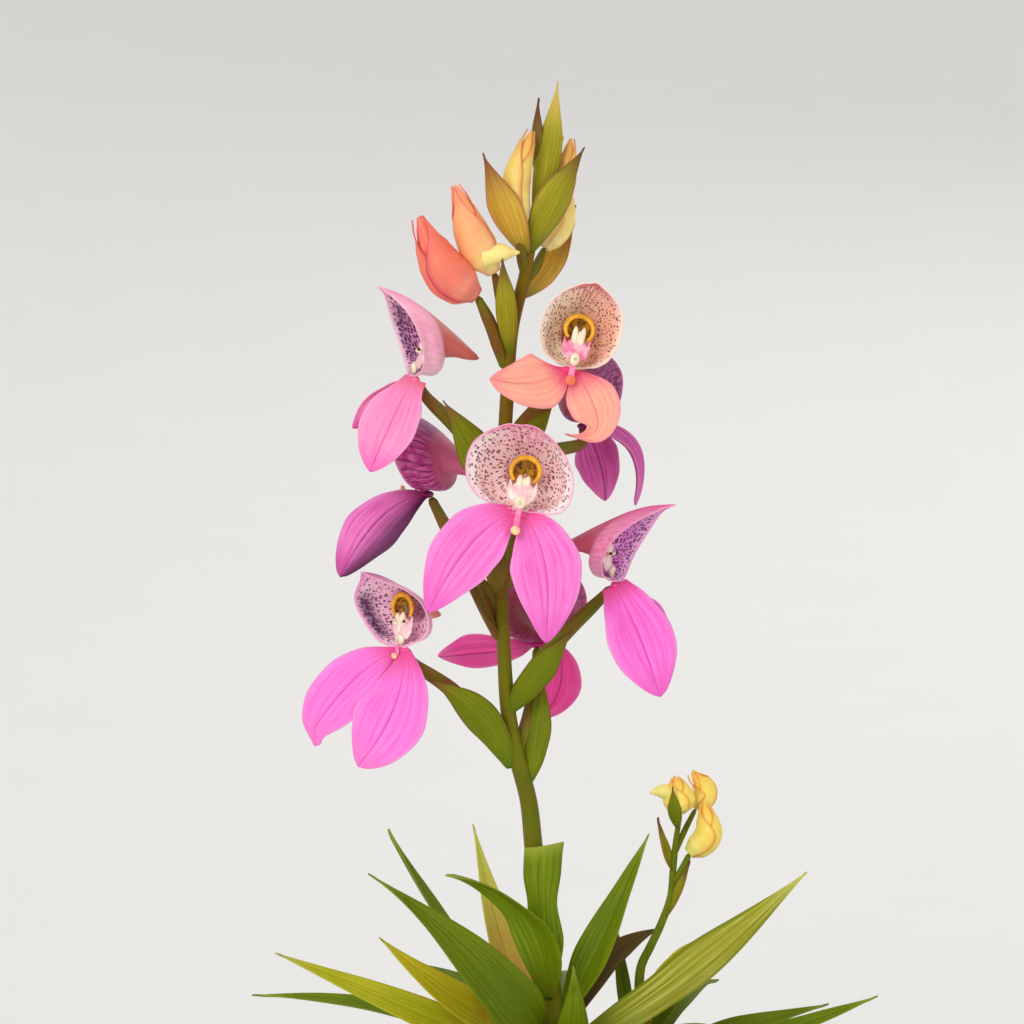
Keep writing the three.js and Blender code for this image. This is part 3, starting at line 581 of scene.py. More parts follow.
def make_hood_vein_effect():
    """Fine veins and a streaky grain that run from the margin of a hood back to its spur."""
    tree, enter, leave = new_effect(
        "hood veins", [("Rows", NUMBER, 30.0)], [("Veins", NUMBER), ("Grain", NUMBER)]
    )
    depth, turn = map_place(tree)
    where = join_place(tree, math_node(tree, "MULTIPLY", depth, 1.4),
                       math_node(tree, "MULTIPLY", turn, 6.0))
    sway = math_node(tree, "SUBTRACT", speckle(tree, where, 1.5, 2.0), 0.5)
    turned = math_node(tree, "ADD", turn, math_node(tree, "MULTIPLY", sway, 0.06))
    beat = math_node(tree, "MULTIPLY", enter["Rows"], math.pi)
    line = math_node(tree, "SINE", math_node(tree, "MULTIPLY", turned, beat))
    veins = ramp(tree, math_node(tree, "ABSOLUTE", line), 0.0, 0.75, 1.0, 0.0)
    tree.links.new(veins, leave["Veins"])
    drawn = join_place(tree, math_node(tree, "MULTIPLY", depth, 9.0),
                       math_node(tree, "MULTIPLY", turned, 60.0))
    tree.links.new(speckle(tree, drawn, 1.0, 2.0), leave["Grain"])
    return tree


def make_crumb_effect():
    """Crumbs, larger clumps and thin threads of peat and bark."""
    tree, _, leave = new_effect(
        "crumbs of the medium", [],
        [("Crumbs", NUMBER), ("Clumps", NUMBER), ("Threads", NUMBER)],
    )
    where = plant_place(tree)
    tree.links.new(speckle(tree, where, 0.9, 6.0, 0.68), leave["Crumbs"])
    tree.links.new(speckle(tree, where, 1 / CLUMP_SIZE, 3.0, 0.55), leave["Clumps"])
    threads = node(tree, "ShaderNodeTexVoronoi", feature="DISTANCE_TO_EDGE")
    put(threads, Scale=0.6, Randomness=1.0)
    tree.links.new(where, threads.inputs["Vector"])
    strands = ramp(tree, threads.outputs["Distance"], 0.0, 0.035, 0.45, 0.0)
    tree.links.new(strands, leave["Threads"])
    return tree


def make_skin_effect():
    """The fine cells and slow unevenness of living skin."""
    tree, enter, leave = new_effect(
        "plant skin",
        [("Cell size", NUMBER, 0.25), ("Patch size", NUMBER, 5.0)],
        [("Cells", NUMBER), ("Patches", NUMBER)],
    )
    where = plant_place(tree)
    for label, output, detail in (("Cell size", "Cells", 2.0), ("Patch size", "Patches", 3.0)):
        scale = math_node(tree, "DIVIDE", 1.0, enter[label])
        made = node(tree, "ShaderNodeTexNoise", noise_dimensions="3D")
        put(made, Detail=detail, Roughness=0.55)
        tree.links.new(where, made.inputs["Vector"])
        tree.links.new(scale, made.inputs["Scale"])
        tree.links.new(made.outputs["Fac"], leave[output])
    return tree


def use_effect(tree, effect, **values):
    """Places a node group with its own values."""
    made = node(tree, "ShaderNodeGroup")
    made.node_tree = effect
    return put(made, **values).outputs


VEINS = make_vein_effect()
SPOTS = make_spot_effect()
SKIN = make_skin_effect()
NEAR = make_turn_effect()
CREST_LINES = make_crest_effect()
HOOD_VEINS = make_hood_vein_effect()
CRUMBS = make_crumb_effect()


def new_finish(name, **shader_values):
    """A material with its principled shader."""
    material = bpy.data.materials.new(name)
    material.use_nodes = True
    tree = material.node_tree
    tree.nodes.clear()
    shader = node(tree, "ShaderNodeBsdfPrincipled")
    out = node(tree, "ShaderNodeOutputMaterial")
    tree.links.new(shader.outputs[0], out.inputs[0])
    put(shader, **shader_values)
    return material, tree, shader


def raise_surface(tree, shader, height, distance, strength=1.0):
    """Feeds a height through a bump to the shader's normal."""
    bump = node(tree, "ShaderNodeBump")
    put(bump, Strength=strength, Distance=distance * MM)
    tree.links.new(height, bump.inputs["Height"])
    tree.links.new(bump.outputs[0], shader.inputs["Normal"])


def petal_finish(name, body, light, vein, root, tip, margin, vein_share=0.1, rib_share=0.75,
                 root_reach=0.3, shade=None, painted_shade_share=0.0):
    """Sepals: a bright body streaked lengthwise, a deep midrib groove, a warm root and a tinted
    margin. `shade` is painted shade that darkens the lower half of the blade."""
    material, tree, shader = new_finish(name, Roughness=0.5, Subsurface_Weight=0.1,
                                        Subsurface_Scale=1.2 * MM, Specular_IOR_Level=0.3)
    put(shader, Subsurface_Radius=(1.0, 0.45, 0.6))
    along, across = blade_place(tree)
    veins = use_effect(tree, VEINS, Count=9.0, Sharpness=0.5, Wander=0.22)
    skin = use_effect(tree, SKIN, Cell_size=0.35, Patch_size=6.0)
    streaks = ramp(tree, veins["Streaks"], 0.25, 0.78)
    colour = blend_colours(tree, streaks, tint(body), tint(light))
    cloud = ramp(tree, skin["Patches"], 0.4, 0.7, 0.0, 0.3)
    colour = blend_colours(tree, cloud, colour, tint(light))
    edge = ramp(tree, math_node(tree, "ABSOLUTE", across), 0.8, 1.0, 0.0, 0.55)
    colour = blend_colours(tree, edge, colour, tint(margin))
    end = ramp(tree, along, 0.75, 1.0, 0.0, 0.8)
    colour = blend_colours(tree, end, colour, tint(tip))
    start = ramp(tree, along, 0.0, root_reach, 1.0, 0.0)
    colour = blend_colours(tree, start, colour, tint(root))
    # Painted shade: the shade colour darkens the lower half of the sepal, across its width.
    if shade:
        painted_lower_shade = ramp(tree, across, -0.95, 0.25, painted_shade_share, 0.0)
        colour = blend_colours(tree, painted_lower_shade, colour, tint(shade))
    lines = math_node(tree, "MULTIPLY", veins["Veins"], vein_share)
    colour = blend_colours(tree, lines, colour, tint(vein))
    rib = math_node(tree, "MULTIPLY", veins["Midrib"], rib_share)
    colour = blend_colours(tree, rib, colour, tint(vein))
    tree.links.new(colour, shader.inputs["Base Color"])
    height = weighed_sum(tree, (veins["Veins"], -0.6), (veins["Net"], -0.25),
                         (veins["Streaks"], 0.6), (skin["Cells"], 0.3))
    raise_surface(tree, shader, height, 0.12, 0.6)
    tree.links.new(ramp(tree, skin["Cells"], 0.2, 0.8, 0.42, 0.6), shader.inputs["Roughness"])
    return material


def near_turn(tree, turn, inner, outer, share=1.0):
    """A mask round one line of a hood, given by its turn (0.5 at the crest)."""
    return use_effect(tree, NEAR, Turn=turn, Inner=inner, Outer=outer, Share=share)["Mask"]


def hood_inside_finish(name, pale, flank, margin, top, spot, haze, throat, crowding=0.8, size=0.26,
                       haze_share=0.25, rows=58.0, shade=None, shade_turn=0.75, painted_shade_share=0.0,
                       other=None, other_share=0.0):
    """Inside of a hood: pale ground with rows of spots, a blush down each flank, streaks below
    the crest and a tinted margin. `shade` is painted shade that darkens one flank near the
    margin, and `other` tints the opposite."""
    material, tree, shader = new_finish(name, Roughness=0.5, Subsurface_Weight=0.1,
                                        Subsurface_Scale=1.0 * MM, Specular_IOR_Level=0.3)
    depth = map_place(tree)[0]
    spots = use_effect(tree, SPOTS, Rows=rows, Steps=rows * 0.32, Size=size, Crowding=crowding)
    skin = use_effect(tree, SKIN, Cell_size=0.3, Patch_size=4.0)
    blush = math_node(tree, "MULTIPLY", ramp(tree, depth, 0.06, 0.3),
                      ramp(tree, skin["Patches"], 0.3, 0.7, 0.55, 1.0))
    colour = blend_colours(tree, blush, tint(pale), tint(flank))
    if other:
        side = near_turn(tree, 1 - shade_turn, 0.1, 0.3, other_share)
        colour = blend_colours(tree, side, colour, tint(other))
    crest = use_effect(tree, CREST_LINES, Rows=rows)["Streaks"]
    colour = blend_colours(tree, crest, colour, tint(top))
    hazy = math_node(tree, "MULTIPLY", spots["Glow"], haze_share)
    colour = blend_colours(tree, hazy, colour, tint(haze))
    # Painted shade: a dark band down one flank of the inside, near the margin.
    if shade:
        dark = near_turn(tree, shade_turn, 0.06, 0.17, painted_shade_share)
        outer = ramp(tree, depth, 0.1, 0.4, 1.0, 0.1)
        dark = math_node(tree, "MULTIPLY", math_node(tree, "MULTIPLY", dark, outer),
                         ramp(tree, spots["Glow"], 0.0, 0.6, 0.8, 1.0))
        colour = blend_colours(tree, dark, colour, tint(shade))
    colour = blend_colours(tree, ramp(tree, depth, 0.0, 0.1, 0.9, 0.0), colour, tint(margin))
    lip_top = math_node(tree, "MULTIPLY", near_turn(tree, CREST_TURN, 0.03, 0.2),
                        ramp(tree, depth, 0.02, 0.16, 0.85, 0.0))
    colour = blend_colours(tree, lip_top, colour, tint(top))
    colour = blend_colours(tree, ramp(tree, depth, 0.55, 0.8), colour, tint(throat))
    dots = math_node(tree, "MULTIPLY", spots["Spots"], ramp(tree, depth, 0.015, 0.06))
    colour = blend_colours(tree, math_node(tree, "MULTIPLY", dots, 0.9), colour, tint(spot))
    tree.links.new(colour, shader.inputs["Base Color"])
    height = weighed_sum(tree, (skin["Cells"], 0.5), (dots, -0.4))
    raise_surface(tree, shader, height, 0.1, 0.5)
    return material


def hood_outside_finish(name, body, vein, spur, margin, crown, belly=None, vein_share=0.25):
    """Outside of a hood: finely veined, darker along the crest, pale at the margin, with the
    spur set off in its own colour."""
    material, tree, shader = new_finish(name, Roughness=0.48, Subsurface_Weight=0.1,
                                        Subsurface_Scale=1.0 * MM, Specular_IOR_Level=0.3)
    depth = map_place(tree)[0]
    skin = use_effect(tree, SKIN, Cell_size=0.3, Patch_size=3.5)
    drawn = use_effect(tree, HOOD_VEINS)
    grain = ramp(tree, drawn["Grain"], 0.35, 0.7, 0.0, 0.55)
    colour = blend_colours(tree, grain, tint(body), tint(margin))
    if belly:
        low = math_node(tree, "ADD", near_turn(tree, 0.0, 0.02, 0.24),
                        near_turn(tree, 1.0, 0.02, 0.24))
        colour = blend_colours(tree, math_node(tree, "MULTIPLY", low, 0.8), colour, tint(belly))
    crest = near_turn(tree, CREST_TURN, 0.0, 0.16, 0.85)
    colour = blend_colours(tree, crest, colour, tint(crown))
    veins = math_node(tree, "MULTIPLY", drawn["Veins"], vein_share)
    colour = blend_colours(tree, veins, colour, tint(vein))
    colour = blend_colours(tree, ramp(tree, depth, 0.46, 0.56, 0.0, 0.9), colour, tint(spur))
    edge = ramp(tree, depth, 0.0, 0.07, 0.75, 0.0)
    colour = blend_colours(tree, edge, colour, tint(margin))
    tree.links.new(colour, shader.inputs["Base Color"])
    height = weighed_sum(tree, (skin["Cells"], 0.35), (drawn["Veins"], -0.4))
    raise_surface(tree, shader, height, 0.12, 0.5)
    return material


def plain_flesh_finish(name, first, second, roughness=0.4, patch=2.0, low=0.35, high=0.65):
    """Waxy flower parts: two close colours in soft patches."""
    material, tree, shader = new_finish(name, Roughness=roughness, Subsurface_Weight=0.2,
                                        Subsurface_Scale=1.0 * MM)
    skin = use_effect(tree, SKIN, Cell_size=0.2, Patch_size=patch)
    colour = blend_colours(tree, ramp(tree, skin["Patches"], low, high), tint(first), tint(second))
    tree.links.new(colour, shader.inputs["Base Color"])
    raise_surface(tree, shader, skin["Cells"], 0.06, 0.5)
    return material


def bud_finish(name, foot, body, tip, edge, seam_shade_share=0.75):
    """Buds: a pale foot, a warm body, a tinted tip and darker petal edges. The darker edges are
    painted shade in the seams where the wrapped petals meet; the same edge colour also tints
    the veins and soft patches.
    """
    material, tree, shader = new_finish(name, Roughness=0.45, Subsurface_Weight=0.15,
                                        Subsurface_Scale=1.5 * MM)
    along, across = blade_place(tree)
    skin = use_effect(tree, SKIN, Cell_size=0.3, Patch_size=4.0)
    veins = use_effect(tree, VEINS, Count=12.0, Sharpness=0.6, Wander=0.08)
    colour = blend_colours(tree, ramp(tree, along, 0.05, 0.45), tint(foot), tint(body))
    colour = blend_colours(tree, ramp(tree, along, 0.6, 1.0), colour, tint(tip))
    # Painted shade: the petal edges darken towards the seams between the wrapped petals.
    painted_seam_shade = ramp(tree, math_node(tree, "ABSOLUTE", across), 0.72, 1.0, 0.0, seam_shade_share)
    colour = blend_colours(tree, painted_seam_shade, colour, tint(edge))
    lines = math_node(tree, "MULTIPLY", veins["Veins"], 0.12)
    colour = blend_colours(tree, lines, colour, tint(edge))
    cloud = ramp(tree, skin["Patches"], 0.4, 0.7, 0.0, 0.22)
    colour = blend_colours(tree, cloud, colour, tint(edge))
    tree.links.new(colour, shader.inputs["Base Color"])
    height = weighed_sum(tree, (skin["Cells"], 0.4), (veins["Veins"], -0.3))
    raise_surface(tree, shader, height, 0.1, 0.5)
    return material


def leaf_finish(name, green, light, vein, tip, foot, blush=None, blush_share=0.0, tip_from=0.85,
                foot_to=0.3, margin=None, margin_share=0.45, vein_share=0.2, rib_share=0.35):
    """Leaves: parallel veins, a paler midrib, and age that shows at the tip and foot."""
    material, tree, shader = new_finish(name, Roughness=0.45, Specular_IOR_Level=0.14,
                                        Subsurface_Weight=0.06, Subsurface_Scale=1.0 * MM)
    along, across = blade_place(tree)
    veins = use_effect(tree, VEINS, Count=15.0, Sharpness=0.8, Wander=0.05)
    skin = use_effect(tree, SKIN, Cell_size=0.35, Patch_size=12.0)
    streaks = ramp(tree, veins["Streaks"], 0.35, 0.68)
    colour = blend_colours(tree, streaks, tint(green), tint(light))
    cloud = ramp(tree, skin["Patches"], 0.4, 0.65, 0.0, 0.5)
    colour = blend_colours(tree, cloud, colour, tint(green))
    lines = math_node(tree, "MULTIPLY", veins["Veins"], vein_share)
    colour = blend_colours(tree, lines, colour, tint(vein))
    rib = math_node(tree, "MULTIPLY", veins["Midrib"], rib_share)
    colour = blend_colours(tree, rib, colour, tint(light))
    if blush:
        aged = ramp(tree, skin["Patches"], 0.46, 0.62, 0.0, blush_share)
        colour = blend_colours(tree, aged, colour, tint(blush))
    colour = blend_colours(tree, ramp(tree, along, 0.0, foot_to, 1.0, 0.0), colour, tint(foot))
    edge = ramp(tree, math_node(tree, "ABSOLUTE", across), 0.78, 1.0, 0.0, margin_share)
    colour = blend_colours(tree, edge, colour, tint(margin or light))
    colour = blend_colours(tree, ramp(tree, along, tip_from, 1.0), colour, tint(tip))
    tree.links.new(colour, shader.inputs["Base Color"])
    height = weighed_sum(tree, (skin["Cells"], 0.3), (veins["Veins"], -0.5))
    raise_surface(tree, shader, height, 0.12, 0.6)
    tree.links.new(ramp(tree, skin["Cells"], 0.25, 0.75, 0.4, 0.58), shader.inputs["Roughness"])
    return material


def stem_finish(name, green, olive, flush, flush_share, top=None):
    """Stems and ovaries: olive green with a brown-purple flush and fine lengthwise lines."""
    material, tree, shader = new_finish(name, Roughness=0.45, Specular_IOR_Level=0.14,
                                        Subsurface_Weight=0.06, Subsurface_Scale=1.5 * MM)
    along = blade_place(tree)[0]
    skin = use_effect(tree, SKIN, Cell_size=0.3, Patch_size=7.0)
    lines = use_effect(tree, VEINS, Count=22.0, Sharpness=0.8, Wander=0.06)
    colour = blend_colours(tree, ramp(tree, skin["Patches"], 0.35, 0.65), tint(green), tint(olive))
    if top:
        colour = blend_colours(tree, ramp(tree, along, 0.25, 0.85), colour, tint(top))
    drift = use_effect(tree, SKIN, Cell_size=1.0, Patch_size=14.0)
    flushed = math_node(tree, "MULTIPLY", ramp(tree, drift["Patches"], 0.38, 0.62), flush_share)
    colour = blend_colours(tree, flushed, colour, tint(flush))
    drawn = math_node(tree, "MULTIPLY", lines["Veins"], 0.22)
    colour = blend_colours(tree, drawn, colour, tint(flush))
    tree.links.new(colour, shader.inputs["Base Color"])
    height = weighed_sum(tree, (skin["Cells"], 0.4), (lines["Veins"], -0.5))
    raise_surface(tree, shader, height, 0.15, 0.6)
    return material


def pot_finish():
    """Moulded nursery pot: dark plastic with a fine grain, dust and splashed soil."""
    material, tree, shader = new_finish("pot plastic", Specular_IOR_Level=0.4)
    where = plant_place(tree)
    grain = speckle(tree, where, 2.2, 3.0, 0.6)
    dust = speckle(tree, where, 0.09, 5.0, 0.62)
    streaks = node(tree, "ShaderNodeVectorMath", operation="MULTIPLY")
    tree.links.new(where, streaks.inputs[0])
    streaks.inputs[1].default_value = (1.0, 1.0, 0.12)
    runs = speckle(tree, streaks.outputs[0], 0.35, 4.0, 0.6)
    height_of = node(tree, "ShaderNodeSeparateXYZ")
    tree.links.new(where, height_of.inputs[0])
    colour = blend_colours(tree, ramp(tree, grain, 0.3, 0.7), tint("1d2023"), tint("2b2e31"))
    dusty = math_node(tree, "MULTIPLY", ramp(tree, dust, 0.45, 0.75), 0.4)
    colour = blend_colours(tree, dusty, colour, tint("6d675c"))
    low = ramp(tree, height_of.outputs["Z"], 0.0, 26.0, 1.0, 0.0)
    splashed = math_node(tree, "MULTIPLY", ramp(tree, runs, 0.5, 0.68), low)
    colour = blend_colours(tree, math_node(tree, "MULTIPLY", splashed, 0.6), colour, tint("5a4632"))
    lime = math_node(tree, "MULTIPLY", ramp(tree, runs, 0.56, 0.72), 0.18)
    colour = blend_colours(tree, lime, colour, tint("8d8a82"))
    tree.links.new(colour, shader.inputs["Base Color"])
    tree.links.new(ramp(tree, dust, 0.3, 0.7, 0.42, 0.68), shader.inputs["Roughness"])
    raise_surface(tree, shader, grain, 0.1, 0.35)
    return material


def medium_finish(name, dark, light, fibre):
    """Peat and bark: brown crumbs with pale fibres."""
    material, tree, shader = new_finish(name, Roughness=0.92)
    peat = use_effect(tree, CRUMBS)
    crumbs = ramp(tree, peat["Crumbs"], 0.35, 0.68)
    colour = blend_colours(tree, crumbs, tint(dark), tint(light))
    clumps = ramp(tree, peat["Clumps"], 0.4, 0.65, 0.0, 0.55)
    colour = blend_colours(tree, clumps, colour, tint(dark))
    colour = blend_colours(tree, peat["Threads"], colour, tint(fibre))
    tree.links.new(colour, shader.inputs["Base Color"])
    raise_surface(tree, shader, peat["Crumbs"], 0.9, 0.9)
    return material


# Blooms

# A bloom stands `at` a place, turned by `heading`, `tilt` and `roll` in degrees. Its hood takes
# `hood_width`, `ogive` (how pointed the crest is), `beak` and `beak_reach` (how far the crest
# rises and over what width), `reach` (how far it leans forward), `scoop` and `droop` (how far the
# flanks move back and down) and `hood_shift`. Its column takes `set_back`, `prongs`, `stigma`,
# `glands`, `lip` (where the lip ends) and `lip_end` (the size of its knob). `left` and `right`
# are the sepals. `ovary` is the way from the stem to the bloom.
BLOOMS = [
    {
        "at": (-37.9, -2, 264.3), "heading": -76, "size": 1, "lip": (-0.6, -2.6), "lip_end": 0.9,
        "tone": "pink", "ogive": 1.7, "beak": 0.12, "beak_reach": 20, "reach": 1.2, "scoop": 2.2,
        "glands": True, "set_back": 4,
        "left": {"path": [(-44.4, 3, 259), (-54.4, 1, 251)], "face": (-0.5, 0.8, 0.35), "width": 9,
                 "peak": 0.62},
        "right": {"path": [(-43.4, -9.6, 257), (-49.4, -12, 240.5)], "face": (-0.3, -1, 0.15),
                  "width": 15.2, "foot": 0.4, "peak": 0.64, "rise": 1.7, "point": 0.72},
        "ovary": [(-17, 0, 234), (-25.5, 0, 248)],
    },
    {
        "at": (-0.2, -12, 266.6), "heading": 8, "roll": 13, "size": 0.98, "hood_width": 0.76,
        "ogive": 1.12, "beak": 0.07, "beak_reach": 30, "prongs": 4.0, "stigma": (1.2, 0.85, 1.65),
        "lip": (-1.6, -4.2), "lip_end": 1.35, "tone": "salmon",
        "left": {"path": [(-8, -18, 260.4), (-19.9, -22, 263.6)], "face": (-0.1, -1, 0.3),
                 "width": 14.4, "peak": 0.4, "point": 0.7},
        "right": {"path": [(4.4, -18, 261), (12.6, -21, 246.4), (-1.4, -17, 250)],
                  "face": (0.1, -1, 0.3), "width": 12.8, "peak": 0.36, "point": 1.6},
        "ovary": [(-16.2, 0, 247), (-8, -5, 256)],
    },
    {
        "at": (-35, 12, 235), "heading": -115, "size": 0.92, "lip": (-4.6, -0.6), "tone": "violet",
        "left": {"path": [(-45.4, 26, 231.7), (-54.8, 31, 216)], "face": (-0.5, 0.6, 0.6),
                 "width": 14},
        "right": {"path": [(-48, 4, 232), (-57.6, 2, 213.6)], "face": (-0.35, -0.8, 0.5),
                  "width": 15.6, "peak": 0.55, "point": 0.6},
        "ovary": [(-17.6, 0, 198), (-25, 4, 214)],
    },
    {
        "at": (-12.6, -20, 231.8), "heading": -3, "roll": 9, "size": 1, "ogive": 0.96, "beak": 0.02,
        "hood_shift": -1.1, "droop": 3.2, "lip": (-1.5, -5.6), "tone": "pink",
        "left": {"path": [(-25, -27, 227.4), (-35, -24, 206.6)], "face": (-0.15, -1, 0.1),
                 "width": 16.5, "foot": 0.24, "peak": 0.5},
        "right": {"path": [(-3.9, -25, 222), (-6.2, -22, 199.1)], "face": (0.1, -1, 0),
                  "width": 17.2, "foot": 0.24},
        "ovary": [(-17.4, 0, 208), (-15, -9, 220)],
    },
    {
        "at": (10.9, -4, 213.4), "heading": 70, "tilt": 15, "size": 1, "ogive": 1.9, "beak": 0.16,
        "beak_reach": 14, "reach": 1.4, "scoop": 4, "lip": (-0.6, -2.2), "lip_end": 0.9,
        "tone": "pink", "glands": True, "set_back": 6,
        "left": {"path": [(16, -13, 205), (22.2, -13, 185)], "face": (0.2, -1, 0.1),
                 "width": 16.6, "foot": 0.4, "peak": 0.62, "rise": 1.3, "point": 0.66},
        "right": {"path": [(19.1, 8, 209.9), (25.5, 9, 191)], "face": (0.8, 0.5, 0.35),
                  "width": 14},
        "ovary": [(-15.2, 0, 183), (-4, -3, 197)],
    },
    {
        "at": (4, 16, 252.2), "heading": 160, "size": 0.85, "hood_width": 0.76, "lip": (-3, 0.4),
        "tone": "violet",
        "left": {"path": [(12, 19, 250), (21.6, 25, 246), (17, 20, 230.7)],
                 "face": (0.9, -0.2, 0.4), "width": 8.6},
        "right": {"path": [(8.4, 25, 244), (9.4, 24, 231.6)], "face": (-0.3, 1, 0.1),
                  "width": 12},
        "ovary": [(-16.5, 0, 232), (-6, 5, 244)],
    },
    {
        "at": (-41.4, -8, 197.4), "heading": -43, "tilt": 12, "roll": -6, "size": 0.95,
        "hood_width": 0.92, "ogive": 1.9, "beak": 0.14, "beak_reach": 16, "scoop": 3.2,
        "lip": (-2.0, -2.4), "lip_end": 0.9, "tone": "pink", "glands": True, "set_back": 4,
        "left": {"path": [(-55, -14, 191.6), (-65.4, -14, 174.1)], "face": (-0.3, -1, 0.2),
                 "width": 15, "peak": 0.58, "point": 0.7, "hook": (2.2, 0, -1.2)},
        "right": {"path": [(-40.6, -20, 182), (-52.3, -20, 168.6)], "face": (-0.2, -1, 0.15),
                  "width": 18, "peak": 0.56, "point": 0.6},
        "ovary": [(-16.6, 0, 172), (-30, -3, 186)],
    },
    {
        "at": (-8.1, 18, 196.3), "heading": 180, "size": 0.95, "lip": (-2, -6), "tone": "pink",
        "left": {"path": [(-0.5, 27, 196), (0.9, 30, 179), (-8.2, 25, 175.6)],
                 "face": (0.5, 0.8, 0.3), "width": 12, "point": 1},
        "right": {"path": [(-20.2, 26.6, 192.4), (-33.6, 28, 191.4)], "face": (0, 0.7, 0.7),
                  "width": 13.4},
        "ovary": [(-13.6, 1, 167), (-9, 7, 182)],
    },
]

HOOD_HALF_WIDTH = 13.2
HOOD_WALL = 0.55
HOOD_INNER_END = 0.8
HOOD_SIDES = 112
LOFT_RINGS = 26
LOFT_SIDES = 28
CREST = [(0, -8.5, 20.5), (0, -1.5, 20), (0, 6.5, 13), (0, 15.5, 4.6)]
KEEL = [(0, -1.5, 0), (0, 4.4, -0.3), (0, 5.4, 3.4), (0, 15.5, 3.6)]
RING_WIDE = 3.5
RING_TALL = 3.3
RING_HEIGHT = 9.4
RING_FRONT = -0.7
SEPAL_ROOT = (1.3, -0.9, -1.25)
# How far the lip may move back with its column before the hood hides it
LIP_SET_BACK = 2
OVARY_NECK = (0, 1.8, -5.2)
OVARY_TOP = (0, 0, -2.1)


def bloom_frame(bloom):
    """Where a bloom stands: turned, nodded and leaned about the place where its parts meet."""
    angles = {key: math.radians(bloom.get(key, 0)) for key in ("tilt", "roll", "heading")}
    turn = (Matrix.Rotation(angles["heading"], 4, "Z") @ Matrix.Rotation(angles["tilt"], 4, "X")
            @ Matrix.Rotation(angles["roll"], 4, "Y"))
    return Matrix.Translation(bloom["at"]) @ turn


def hood_rings(bloom, depths, inset):
    """Rings of the hood, from the mouth (0) through its pouch back to the tip of the spur (1)."""
    top = bezier(CREST, depths)
    low = bezier(KEEL, depths)
    rise = (top - low) / 2
    height = np.linalg.norm(rise, axis=1)[:, None]
    upward = rise / height
    depth = depths[:, None]
    pouch = 1 + 0.06 * np.exp(-(((depth - 0.36) / 0.15) ** 2))
    neck = smooth_step(depth, 0.46, 0.6) * (1 - smooth_step(depth, 0.75, 1.0))
    share = pouch * (1 - 0.18 * neck)
    wide = HOOD_HALF_WIDTH * bloom.get("hood_width", 1)
    width = np.maximum(0.5, wide * (1 - depth) ** 0.8) * share
    centre = top - rise * share
    height = height * share
    angle = 2 * np.pi * np.arange(HOOD_SIDES)[None, :] / HOOD_SIDES
    up, out = -np.cos(angle), np.sin(angle)
    sharp = np.where(up < 0, 0.78, 1)
    peak = np.where(up > 0, np.abs(up) ** bloom.get("beak_reach", 14), 0) * (1 - depth)
    beak = 1 + bloom.get("beak", 0.1) * peak
    lip = np.exp(-((depth / 0.07) ** 2))
    waved = 0.012 * np.sin(9 * angle + 1) + 0.01 * np.sin(15 * angle)
    beak = beak + lip * waved * (np.abs(out) > 0.05)
    ease = inset * (1 - 0.5 * lip) - 0.3 * lip
    round_off = np.where(up < 0, 0.78, bloom.get("ogive", 1))
    x = (width - ease) * np.sign(out) * np.abs(out) ** round_off
    z = (height - ease) * beak * np.sign(up) * np.abs(up) ** sharp
    rings = centre[:, None, :] + upward[:, None, :] * z[..., None]
    rings[..., 0] += x + bloom.get("hood_shift", 0) * (1 - depth)
    rings[..., 1] -= bloom.get("reach", 0) * peak * (1 - depth) ** 2
    rings[..., 1] += bloom.get("scoop", 0) * np.abs(out) ** 1.5 * (1 - depth) ** 2
    rings[..., 2] -= bloom.get("droop", 0) * np.maximum(out, 0) ** 1.5 * (1 - depth) ** 2
    return rings * bloom["size"]


def add_hood(patches, bloom, spot):
    """Adds a hood: outside with its spur, inside, and the margin that joins them."""
    outside = hood_rings(bloom, np.linspace(0, 1, 60) ** 1.1, 0)
    inside = hood_rings(bloom, HOOD_INNER_END * np.linspace(0, 1, 40), HOOD_WALL)
    tip = (bezier(CREST, [1.0]) + bezier(KEEL, [1.0])) / 2 * bloom["size"]
    throat = inside[-1].mean(axis=0)
    outside[-1] = (outside[-1] + tip) / 2
    outside = np.concatenate([outside, np.broadcast_to(tip + (0, 0.25, 0), (1, HOOD_SIDES, 3))])
    inside = np.concatenate([inside, np.broadcast_to(throat, (1, HOOD_SIDES, 3))])
    edge = np.stack([inside[0], (inside[0] + outside[0]) / 2 + (0, -0.12, 0), outside[0]])
    patches.grid(moved(outside, spot), 0, closed=True)
    patches.grid(moved(inside, spot), 1, closed=True, flip=True, span=(0, HOOD_INNER_END))
    patches.grid(moved(edge, spot), 0, closed=True, span=(0.02, 0))


def add_loft(patches, line, widths, depths, finish, fold):
    """Adds a rounded body of oval sections along a line in the middle plane of a bloom."""
    path = smooth_path(line, LOFT_RINGS)
    ahead = unit(np.gradient(path, axis=0))
    across = np.cross(ahead, (1, 0, 0))
    angle = 2 * np.pi * np.arange(LOFT_SIDES) / LOFT_SIDES
    wide = spread(widths, LOFT_RINGS)[:, None] * np.cos(angle)
    deep = spread(depths, LOFT_RINGS)[:, None] * np.sin(angle) * (1 + fold * np.cos(6 * angle))
    body = path[:, None, :] + across[:, None, :] * deep[..., None]
    body[..., 0] += wide
    ends = [np.repeat(path[[k]][None], LOFT_SIDES, axis=1) for k in (0, -1)]
    patches.grid(np.concatenate([ends[0], body, ends[1]]), finish, closed=True, flip=True)


